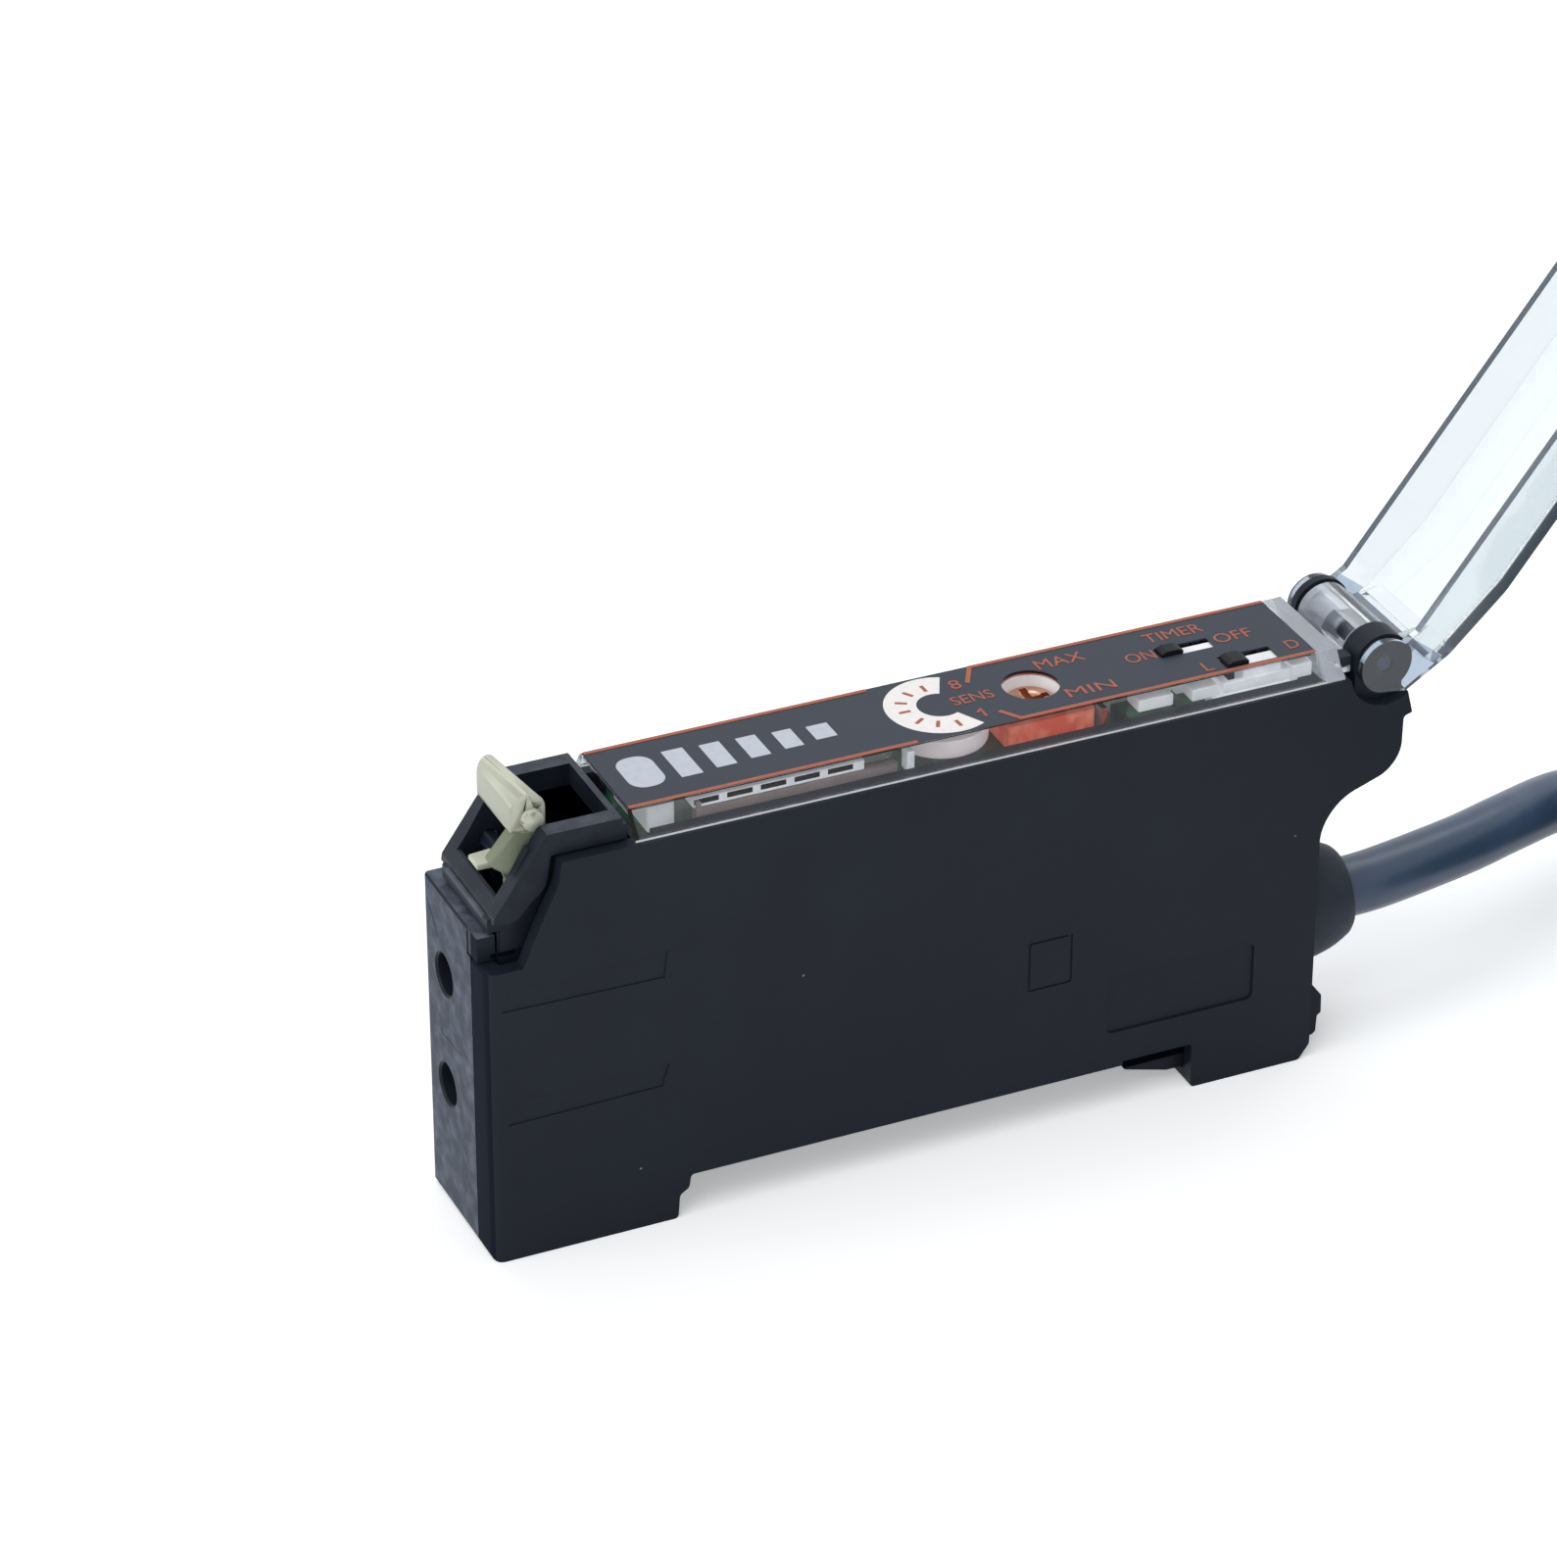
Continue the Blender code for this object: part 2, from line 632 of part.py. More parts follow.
def switch(name, x, y, slot, colour):
    """Slide switch: a body on the board and a knob that stands through the label's slot."""
    reach_x = slot[0] / 2
    reach_y = slot[1] / 2
    low = max(y - reach_y - 0.3, RIM + GAP - HALF)
    depth = (PARTS_FLOOR, PARTS_TOP)
    body_x = (x - reach_x - 0.5, x + reach_x + 0.5)
    body = box(name + "_switch_body", body_x, (low, y + reach_y + 0.3), depth)
    groove = (PARTS_TOP - 0.7, PARTS_TOP + 1)
    cut(body, box(name + "_groove", (x - reach_x, x + reach_x), (y - reach_y, y + reach_y), groove))
    front = x - reach_x + 0.1
    knob = box(
        name + "_knob",
        (front, front + slot[0] - KNOB_TRAVEL - 0.2),
        (max(y - reach_y, low) + 0.1, y + reach_y - 0.1),
        (PARTS_TOP - 0.6, WINDOW_TOP + KNOB_RISE),
    )
    finish(knob, BLACK, 0.4)
    return finish(body, colour, 0.4), hang(name + "_slide", (front, y, WINDOW_TOP), knob)


def protective_cover():
    """Clear lid, drawn closed over the window and then swung open on the hinge."""
    x, z = HINGE
    edge = DECK + 0.8
    top = edge + COVER_RISE
    high = top + 0.8
    back = WINDOW_BACK + GAP
    front = WINDOW_FRONT
    shoulder = x - 2.6
    crest = x - 7.8
    inner = EAR_INNER
    side = outline(
        (front, edge, 0.3),
        (back, edge),
        *arc(HINGE, EAR_RADIUS, 176, 400),
        (x + 0.73, z + 2.33, 0.2),
        (shoulder, top, 1.0),
        (crest, high, 3.0),
        (front, high, 1.4),
    )
    channel = outline(
        (front - 2, DECK - 5),
        (x + 5, DECK - 5),
        (x + 5, z + 0.9),
        (x + 0.6, z + 1.3),
        (shoulder, top - COVER_PLATE),
        (crest, high - COVER_PLATE),
        (front - 2, high - COVER_PLATE),
    )
    knuckle = outline(
        *arc(HINGE, BARREL_RADIUS, 145, 410),
        (x + 0.65, z + 2.2),
        (shoulder, top - 0.1),
        (shoulder - 0.6, top - COVER_PLATE + 0.1),
    )
    cover = prism("protective_cover", side, "y", -EAR_OUTER, EAR_OUTER)
    cut(
        cover,
        prism("cover_channel", channel, "y", -inner, inner),
        box("cover_back", (x - 1.6, x + 4), (-inner, inner), (DECK - 5, high + 2)),
        rod("cover_clearance", "y", HINGE, BOSS_RADIUS + SEAM, -inner, inner, 28),
    )
    join(cover, prism("cover_knuckle", knuckle, "y", -BARREL_HALF, BARREL_HALF))
    cut(
        cover,
        rod("cover_pin_hole_lid", "y", HINGE, HINGE_PIN + RUN, -HALF - 1, HALF + 1, 16),
        box("cover_pin_window", (x - 0.55, x + 0.65), (GAP - BARREL_HALF, GAP), (z - 3, z)),
    )
    return hang("cover_hinge", (x, 0, z), finish(cover, CLEAR, 0.05, alpha=0.3), COVER_OPEN)


def hinge_pin():
    """Steel pin through the ears, the bosses and the barrel."""
    return finish(rod("hinge_pin", "y", HINGE, HINGE_PIN, -EAR_OUTER, EAR_OUTER, 16), STEEL, 0.25, 0.9)


def rail_slider():
    """Sprung hook that locks the rail, with the tab that pulls it back."""
    reach = INNER - SEAM
    ledge = RAIL_DEPTH - FLANGE
    tab = CASE_LENGTH + GAP
    profile = outline(
        (REAR_FOOT - HOOK_REACH, ledge),
        (REAR_FOOT - 1.2, SLIDER_FLOOR, 0.3),
        (tab, SLIDER_FLOOR),
        (tab + TAB - 0.3, 1.25),
        (tab + TAB - 0.2, 2.6),
        (tab + TAB, 2.8),
        (tab + TAB, 4.0),
        (tab, 5.5, 0.2),
        (tab, CHANNEL_TOP - GAP),
        (REAR_FOOT + GAP, CHANNEL_TOP - GAP),
        (REAR_FOOT + GAP, ledge),
    )
    slider = prism("rail_slider", profile, "y", -reach, reach)
    cut(slider, rod("slider_relief", "x", (0, CABLE_HEIGHT), BOOT_RADIUS + GAP, tab - 2, tab + 3, 28))
    return hang("slider_guide", (REAR_FOOT, 0, ledge), finish(slider, BLACK, 0.5))


def cable_boot():
    """Domed strain relief, held in the rear wall by its flange."""
    face = CASE_LENGTH + GAP
    taper = BOOT_RADIUS - CABLE_RADIUS - 0.5
    dome = [
        (face + BOOT_LENGTH * t, BOOT_RADIUS - taper * t ** 2.2)
        for t in (0, 0.2, 0.4, 0.6, 0.8, 1.0)
    ]
    flange = [
        (BOOT_FLANGE - 1, 0),
        (BOOT_FLANGE - 1, BOOT_NECK + 1),
        (BOOT_FLANGE, BOOT_NECK + 1),
        (BOOT_FLANGE, BOOT_NECK),
    ]
    profile = [*flange, (face, BOOT_NECK), *dome, (BOOT_TIP, 0)]
    return finish(turned("cable_boot", profile, "x", (0, CABLE_HEIGHT), 28), BLACK, 0.45)


def smooth_route(points, count):
    """Points at even steps of a smooth curve through the route's points."""
    places = [Vector(p) for p in points]
    places = [2 * places[0] - places[1], *places, 2 * places[-1] - places[-2]]
    dense = []
    for p0, p1, p2, p3 in zip(places, places[1:], places[2:], places[3:]):
        for k in range(12):
            t = k / 12
            bend = 2 * p0 - 5 * p1 + 4 * p2 - p3
            turn = 3 * p1 - p0 - 3 * p2 + p3
            dense.append((2 * p1 + (p2 - p0) * t + bend * t * t + turn * t ** 3) / 2)
    dense.append(places[-2])
    last = len(dense) - 1
    return [dense[round(k * last / (count - 1))] for k in range(count)]


def tube(name, points, radius, resolution=2):
    """Round cord along points in millimetres."""
    curve = bpy.data.curves.new(name, "CURVE")
    curve.dimensions = "3D"
    curve.bevel_depth = radius * MM
    curve.bevel_resolution = resolution
    curve.use_fill_caps = True
    spline = curve.splines.new("POLY")
    spline.points.add(len(points) - 1)
    for place, point in zip(spline.points, points):
        place.co = (*(Vector(point) * MM), 1.0)
    obj = bpy.data.objects.new(name, curve)
    bpy.context.scene.collection.objects.link(obj)
    obj.parent = bpy.data.objects["datum"]
    return obj


def cable_pieces():
    """Cable to the coil, the coil's outer shape and the three bare cores that lie on it."""
    route = smooth_route([(BOOT_TIP + GAP + x, y, z) for x, y, z in ROUTE], 13)
    lead = tube("cable", route, CABLE_RADIUS)
    section = [
        (0.0, COIL_INNER + 1),
        (0.0, COIL_OUTER - 1),
        (1.0, COIL_OUTER),
        (COIL_HEIGHT - 1, COIL_OUTER),
        (COIL_HEIGHT, COIL_OUTER - 1),
        (COIL_HEIGHT, COIL_INNER + 1),
        (COIL_HEIGHT - 1, COIL_INNER),
        (1.0, COIL_INNER),
    ]
    coil = turned("cable_coil", section, "z", COIL_CENTRE, 36)
    made = [finish(lead, CABLE, 0.35), finish(coil, CABLE, 0.35)]
    colours = {"brown": BROWN, "black": BLACK, "blue": BLUE}
    middle = (COIL_INNER + COIL_OUTER) / 2
    for number, (name, colour) in enumerate(colours.items()):
        path = []
        for step in range(13):
            angle = math.radians(-15 - 5 * step)
            reach = middle + (number - 1) * (CORE_SPREAD + 0.02 * step * step)
            x = COIL_CENTRE[0] + reach * math.cos(angle)
            y = COIL_CENTRE[1] + reach * math.sin(angle)
            path.append((x, y, COIL_HEIGHT + GAP + CORE_RADIUS))
        made.append(finish(tube("core_" + name, path, CORE_RADIUS), colour, 0.4))
    return made


def build():
    """Clears the scene and makes every piece."""
    for obj in list(bpy.data.objects):
        bpy.data.objects.remove(obj, do_unlink=True)
    datum = bpy.data.objects.new("datum", None)
    bpy.context.scene.collection.objects.link(datum)
    datum.location = (-SEAT_X * MM, 0, -RAIL_DEPTH * MM)
    case_shell()
    side_cover()
    lever_housing()
    lock_lever()
    fibre_clamp()
    optics_block()
    finish(light_source("emitter_led", BORE_HEIGHTS[0]), CLEAR, 0.1)
    finish(light_source("receiver_diode", BORE_HEIGHTS[1]), BLACK, 0.1)
    display_window()
    label_panel()
    boards()
    lights()
    adjuster()
    switch("timer", LABEL_BACK - TIMER_FROM_END, TIMER_Y, TIMER_SLOT, WHITE)
    switch("mode", LABEL_BACK - MODE_FROM_END, MODE_Y, MODE_SLOT, WHITE)
    protective_cover()
    hinge_pin()
    rail_slider()
    cable_boot()
    cable_pieces()


build()
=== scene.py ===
"""Looks of a fibre optic sensor amplifier that clips on a 35 mm rail, cover open and cable coiled.

Sizes are in millimetres in a working frame: X runs from the fibre face to the cable, Y across the
width and Z up from the feet. Shape.settle turns a finished mesh to metres in the frame of the CAD.
"""

from __future__ import annotations

import enum
import json
import logging
import math
from collections.abc import Callable, Iterable, Sequence
from dataclasses import dataclass

import bmesh
import bpy
from mathutils import Matrix, Vector

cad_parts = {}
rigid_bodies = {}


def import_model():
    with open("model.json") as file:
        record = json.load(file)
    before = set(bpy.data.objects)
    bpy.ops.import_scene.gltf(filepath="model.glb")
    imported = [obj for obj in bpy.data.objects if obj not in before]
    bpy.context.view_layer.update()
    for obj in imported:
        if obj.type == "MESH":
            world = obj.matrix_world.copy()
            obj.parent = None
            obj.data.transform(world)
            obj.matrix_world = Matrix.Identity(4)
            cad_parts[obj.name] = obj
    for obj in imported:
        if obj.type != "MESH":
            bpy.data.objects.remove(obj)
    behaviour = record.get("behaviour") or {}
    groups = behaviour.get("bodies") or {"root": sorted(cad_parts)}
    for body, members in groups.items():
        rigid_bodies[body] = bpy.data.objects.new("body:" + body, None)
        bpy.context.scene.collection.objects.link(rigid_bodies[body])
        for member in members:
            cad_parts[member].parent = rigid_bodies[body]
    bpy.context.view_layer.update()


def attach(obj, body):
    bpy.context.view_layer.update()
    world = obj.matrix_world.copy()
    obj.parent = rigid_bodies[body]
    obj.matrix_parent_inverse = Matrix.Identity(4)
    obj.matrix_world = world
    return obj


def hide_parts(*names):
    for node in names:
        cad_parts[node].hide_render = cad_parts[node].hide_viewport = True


LOG = logging.getLogger("fibre_sensor")
MM = 0.001
# middle of the rail seat, which is the origin of the CAD
SEAT = Vector((29.95, 0.0, 3.0))
TO_ROW = Matrix.Scale(MM, 4) @ Matrix.Translation(-SEAT)
SHARP = math.radians(32)
FLAT = math.radians(0.5)
PLASTIC_IOR = 1.53
# places that several pieces share: (x, z), (x, z) and (y, z)
HINGE = (60.4, 27.6)
LEVER_PIVOT = (3.5, 24.9)
CABLE_AXIS = (0.0, 8.75)
# middle (x, y) of the dial
DIAL_CENTRE = (31.9, 0.0)
# radius of the holes that the hinge pin lies in
PIN_HOLE = 0.66

Corner = tuple[float, ...]
Span = tuple[float, float]
Place = tuple[float, float, float]
Socket = bpy.types.NodeSocket


class Axis(enum.Enum):
    """Axis that an outline is drawn across or a profile is turned about."""

    X = "x"
    Y = "y"
    Z = "z"

    def place(self, first: float, second: float, depth: float) -> Vector:
        """Point in space of an outline point at a depth along the axis."""
        order = {
            Axis.X: (depth, first, second),
            Axis.Y: (first, depth, second),
            Axis.Z: (first, second, depth),
        }
        return Vector(order[self])


class Body(enum.Enum):
    """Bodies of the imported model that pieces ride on."""

    CASE = "case"
    COVER = "cover"
    LEVER = "lever"
    SLIDER = "slider"
    ADJUSTER = "adjuster"
    DIAL = "dial"
    TIMER = "timer"
    MODE = "mode"


def arc(centre: Span, radius: float, start: float, end: float, steps: int = 10) -> list[Corner]:
    """Points of an arc.

    Args:
        centre: middle of the arc in the outline's plane.
        radius: its radius in millimetres.
        start: first angle in degrees.
        end: last angle in degrees.
        steps: number of chords.

    Returns:
        The points from start to end.
    """
    angles = [math.radians(start + (end - start) * k / steps) for k in range(steps + 1)]
    return [(centre[0] + radius * math.cos(a), centre[1] + radius * math.sin(a)) for a in angles]


class Shape:
    """A mesh under construction, in millimetres in the working frame."""

    def __init__(self) -> None:
        """Starts with an empty mesh."""
        self.mesh = bmesh.new()

    @classmethod
    def prism(cls, corners: Sequence[Corner], axis: Axis, low: float, high: float) -> Shape:
        """Solid of an outline.

        Args:
            corners: corners (a, b) or (a, b, radius), where a radius rounds the corner.
            axis: axis that the outline is drawn across.
            low: where the solid starts on that axis.
            high: where it ends.

        Returns:
            The solid.
        """
        shape = cls()
        mesh = shape.mesh
        verts = [mesh.verts.new(axis.place(c[0], c[1], low)) for c in corners]
        mesh.faces.new(verts)
        places = [vert.co.copy() for vert in verts]
        for number, corner in enumerate(corners):
            if len(corner) < 3:
                continue
            here = places[number]
            before = (places[number - 1] - here).normalized()
            after = (places[(number + 1) % len(places)] - here).normalized()
            bmesh.ops.bevel(
                mesh,
                geom=[verts[number]],
                offset=corner[2] / math.tan(before.angle(after) / 2),
                offset_type="OFFSET",
                affect="VERTICES",
                segments=max(3, min(12, round(4 + 2 * corner[2]))),
                profile=0.5,
                material=-1,
            )
        grown = bmesh.ops.extrude_face_region(mesh, geom=list(mesh.faces))["geom"]
        moved = [item for item in grown if isinstance(item, bmesh.types.BMVert)]
        bmesh.ops.translate(mesh, verts=moved, vec=axis.place(0, 0, high - low))
        bmesh.ops.recalc_face_normals(mesh, faces=mesh.faces)
        return shape

    @classmethod
    def block(cls, x: Span, y: Span, z: Span, corner: float = 0.0) -> Shape:
        """Block between two values on each axis, with its upright edges rounded by corner."""
        ends = [(x[0], y[0]), (x[1], y[0]), (x[1], y[1]), (x[0], y[1])]
        if corner:
            ends = [(*end, corner) for end in ends]
        return cls.prism(ends, Axis.Z, *z)

    @classmethod
    def turned(cls, profile: Sequence[Span], axis: Axis, centre: Span, steps: int = 32) -> Shape:
        """Solid turned about an axis.

        Args:
            profile: (distance, radius) points, open at the axis or else a ring.
            axis: axis to turn about.
            centre: where the axis stands, in the plane across it.
            steps: number of facets round.

        Returns:
            The solid.
        """
        shape = cls()
        mesh = shape.mesh
        verts = [mesh.verts.new(axis.place(centre[0] + r, centre[1], d)) for d, r in profile]
        ring = all(radius > 0 for _, radius in profile)
        pairs = list(zip(verts, verts[1:])) + ([(verts[-1], verts[0])] if ring else [])
        edges = [mesh.edges.new(pair) for pair in pairs]
        bmesh.ops.spin(
            mesh,
            geom=verts + edges,
            cent=axis.place(*centre, 0),
            axis=axis.place(0, 0, 1),
            angle=2 * math.pi,
            steps=steps,
            use_merge=True,
        )
        bmesh.ops.remove_doubles(mesh, verts=mesh.verts, dist=1e-4)
        bmesh.ops.recalc_face_normals(mesh, faces=mesh.faces)
        return shape

    @classmethod
    def rod(cls, axis: Axis, centre: Span, radius: float, along: Span, steps: int = 32) -> Shape:
        """Round bar along an axis."""
        low, high = along
        ends = [(low, 0.0), (low, radius), (high, radius), (high, 0.0)]
        return cls.turned(ends, axis, centre, steps)

    @classmethod
    def words(cls, text: str, x: Span, y: Span, z: float, rise: float) -> Shape:
        """Raised lettering that fills a rectangle seen from above.

        Args:
            text: the letters.
            x: extent of the letters along X.
            y: extent along Y.
            z: height of their foot.
            rise: their thickness.

        Returns:
            The letters as closed solids.
        """
        curve = bpy.data.curves.new(text, "FONT")
        curve.body = text
        curve.extrude = rise / 2
        curve.resolution_u = 4
        obj = bpy.data.objects.new(text, curve)
        data = bpy.data.meshes.new_from_object(obj)
        shape = cls()
        shape.mesh.from_mesh(data)
        bpy.data.objects.remove(obj)
        bpy.data.meshes.remove(data)
        bmesh.ops.remove_doubles(shape.mesh, verts=shape.mesh.verts, dist=1e-5)
        places = [vert.co for vert in shape.mesh.verts]
        low = [min(p[k] for p in places) for k in range(3)]
        high = [max(p[k] for p in places) for k in range(3)]
        aims = (x, y, (z, z + rise))
        for vert in shape.mesh.verts:
            for k, aim in enumerate(aims):
                part = (vert.co[k] - low[k]) / (high[k] - low[k])
                vert.co[k] = aim[0] + part * (aim[1] - aim[0])
        bmesh.ops.recalc_face_normals(shape.mesh, faces=shape.mesh.faces)
        return shape

    def temporary(self, name: str) -> bpy.types.Object:
        """Object that holds this mesh for a Boolean."""
        data = bpy.data.meshes.new(name)
        self.mesh.to_mesh(data)
        obj = bpy.data.objects.new(name, data)
        bpy.context.scene.collection.objects.link(obj)
        return obj

    def combined(self, operation: str, tools: Iterable[Shape]) -> Shape:
        """This shape after a Boolean with each tool.

        Args:
            operation: name of the Boolean operation.
            tools: the shapes to combine it with.

        Returns:
            This shape, changed in place.
        """
        target = self.temporary("target")
        helpers = [tool.temporary("tool") for tool in tools]
        for helper in helpers:
            modifier = target.modifiers.new("combine", "BOOLEAN")
            modifier.operation = operation
            modifier.solver = "EXACT"
            modifier.object = helper
        graph = bpy.context.evaluated_depsgraph_get()
        result = bpy.data.meshes.new_from_object(target.evaluated_get(graph))
        self.mesh.clear()
        self.mesh.from_mesh(result)
        bpy.data.meshes.remove(result)
        for obj in (target, *helpers):
            data = obj.data
            bpy.data.objects.remove(obj)
            bpy.data.meshes.remove(data)
        bmesh.ops.dissolve_limit(
            self.mesh, angle_limit=FLAT, verts=self.mesh.verts, edges=self.mesh.edges
        )
        return self

    def cut(self, *tools: Shape) -> Shape:
        """This shape without the tools."""
        return self.combined("DIFFERENCE", tools)

    def join(self, *tools: Shape) -> Shape:
        """This shape and the tools made one."""
        return self.combined("UNION", tools)

    def common(self, tool: Shape) -> Shape:
        """What this shape shares with the tool."""
        return self.combined("INTERSECT", [tool])

    def add(self, *others: Shape) -> Shape:
        """This shape with others laid in the same mesh, uncut."""
        for other in others:
            data = bpy.data.meshes.new("added")
            other.mesh.to_mesh(data)
            self.mesh.from_mesh(data)
            bpy.data.meshes.remove(data)
        return self

    def turn(self, degrees: float, axis: Axis, centre: Vector) -> Shape:
        """Turns the shape about an axis through a point."""
        spin = Matrix.Rotation(math.radians(degrees), 4, axis.name)
        there = Matrix.Translation(centre)
        self.mesh.transform(there @ spin @ there.inverted())
        return self

    def split(self, point: Vector, normal: Vector) -> Shape:
        """Divides the faces that cross a plane along it."""
        mesh = self.mesh
        geometry = [*mesh.verts, *mesh.edges, *mesh.faces]
        bmesh.ops.bisect_plane(mesh, geom=geometry, plane_co=point, plane_no=normal)
        return self

    def paint(self, number: int, test: Callable[[Vector, Vector], bool]) -> Shape:
        """Gives the faces that pass a test another of the piece's materials.

        Args:
            number: index of the material.
            test: says for a face's middle and normal whether it takes it.

        Returns:
            This shape.
        """
        self.mesh.normal_update()
        for face in self.mesh.faces:
            if test(face.calc_center_median(), face.normal):
                face.material_index = number
        return self

    def settle(
        self,
        name: str,
        finishes: Sequence[Finish],
        body: Body,
        nodes: Sequence[str] = (),
        slot: str | None = None,
        edge: float = 0.0,
        steps: int = 2,
    ) -> bpy.types.Object:
        """Finished piece in the frame of the CAD.

        Args:
            name: the piece's name.
            finishes: its materials in order.
            body: what it rides on.
            nodes: the CAD nodes that it stands for.
            slot: the record's material slot, which is not used.
            edge: width in millimetres of the rounding on its sharp edges.
            steps: segments of that rounding.

        Returns:
            The object.
        """
        self.mesh.transform(TO_ROW)
        data = bpy.data.meshes.new(name)
        self.mesh.to_mesh(data)
        self.mesh.free()
        data.shade_smooth()
        obj = bpy.data.objects.new(name, data)
        bpy.context.scene.collection.objects.link(obj)
        for finish in finishes:
            data.materials.append(finish.material())
        if edge:
            bevel = obj.modifiers.new("rounded edges", "BEVEL")
            bevel.width = edge * MM
            bevel.segments = steps
            bevel.limit_method = "ANGLE"
            bevel.angle_limit = SHARP
            bevel.harden_normals = True
        else:
            data.set_sharp_from_angle(angle=SHARP)
        return placed(obj, body, nodes)


def placed(
    obj: bpy.types.Object, body: Body, nodes: Sequence[str] = ()
) -> bpy.types.Object:
    """Tells the frame what a piece rides on, and hides the CAD nodes that it stands for.

    Args:
        obj: the piece.
        body: what it rides on.
        nodes: the CAD nodes that it stands for.

    Returns:
        The same object.
    """
    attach(obj, body.value)
    if nodes:
        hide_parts(*nodes)
    LOG.info("%s on %s, for %s", obj.name, body.value, ", ".join(nodes) or "the looks")
    return obj


def srgb(code: str) -> tuple[float, float, float, float]:
    """Linear colour of an sRGB hex value."""
    parts = [int(code[k : k + 2], 16) / 255 for k in (1, 3, 5)]
    linear = [p / 12.92 if p <= 0.04045 else ((p + 0.055) / 1.055) ** 2.4 for p in parts]
    return (*linear, 1.0)


def per_mm(size: float) -> float:
    """Texture scale whose features are about that many millimetres across."""
    return 1.0 / (size * MM)


@dataclass(frozen=True)
class Graph:
    """Node tree of a material or world, with calls for the nodes that the finishes share."""

    tree: bpy.types.NodeTree

    def add(self, kind: str, inputs: dict | None = None, **settings: object) -> bpy.types.Node:
        """Adds a shader node.

        Args:
            kind: the node's type name.
            inputs: sockets by name or number, each a constant or the output that feeds it.
            settings: the node's own properties.

        Returns:
            The node.
        """
        node = self.tree.nodes.new(kind)
        for name, value in settings.items():
            setattr(node, name, value)
        for key, value in (inputs or {}).items():
            if isinstance(value, bpy.types.NodeSocket):
                self.tree.links.new(value, node.inputs[key])
            else:
                node.inputs[key].default_value = value
        return node

    def place(self) -> Socket:
        """Object coordinates."""
        return self.add("ShaderNodeTexCoord").outputs["Object"]

    def noise(self, size: float, detail: float = 3.0) -> Socket:
        """Noise with features of a size in millimetres on Object coordinates."""
        inputs = {"Vector": self.place(), "Scale": per_mm(size), "Detail": detail}
        return self.add("ShaderNodeTexNoise", inputs).outputs["Fac"]

    def math(self, operation: str, first: Socket, second: Socket | float) -> Socket:
        """Result of a Math node on two values."""
        return self.add("ShaderNodeMath", {0: first, 1: second}, operation=operation).outputs[0]

    def ranged(self, value: Socket, target: Span, source: Span = (0.0, 1.0)) -> Socket:
        """Value taken from a source range to a target range, and clamped to it."""
        inputs = {
            "Value": value,
            "From Min": source[0],
            "From Max": source[1],
            "To Min": target[0],
            "To Max": target[1],
        }
        return self.add("ShaderNodeMapRange", inputs).outputs["Result"]

    def mixed(self, share: Socket, first: Socket | Corner, second: Socket | Corner) -> Socket:
        """Mix of two colours, of which the second has the share."""
        inputs = {"Factor": share, 6: first, 7: second}
        return self.add("ShaderNodeMix", inputs, data_type="RGBA").outputs[2]

    def bump(self, height: Socket, depth: float, strength: float = 1.0) -> Socket:
        """Normal of a surface that a height raises by up to a depth in millimetres."""
        inputs = {"Strength": strength, "Distance": depth * MM, "Height": height}
        return self.add("ShaderNodeBump", inputs).outputs["Normal"]

    def seen(self) -> Socket:
        """One for camera, glossy and transmission rays, and else zero."""
        path = self.add("ShaderNodeLightPath")
        result = path.outputs["Is Camera Ray"]
        for ray in ("Is Glossy Ray", "Is Transmission Ray"):
            result = self.math("MAXIMUM", result, path.outputs[ray])
        return result


@dataclass(frozen=True)
class Finish:
    """A finish, whose material is made once and shared by its pieces."""

    name: str

    def material(self) -> bpy.types.Material:
        """The material of this finish."""
        known = bpy.data.materials.get(self.name)
        if known:
            return known
        made = bpy.data.materials.new(self.name)
        made.use_nodes = True
        made.node_tree.nodes.clear()
        graph = Graph(made.node_tree)
        graph.add("ShaderNodeOutputMaterial", {"Surface": self.surface(graph)})
        return made

    def surface(self, graph: Graph) -> Socket:
        """Builds the shader in a graph and returns its output."""
        raise NotImplementedError


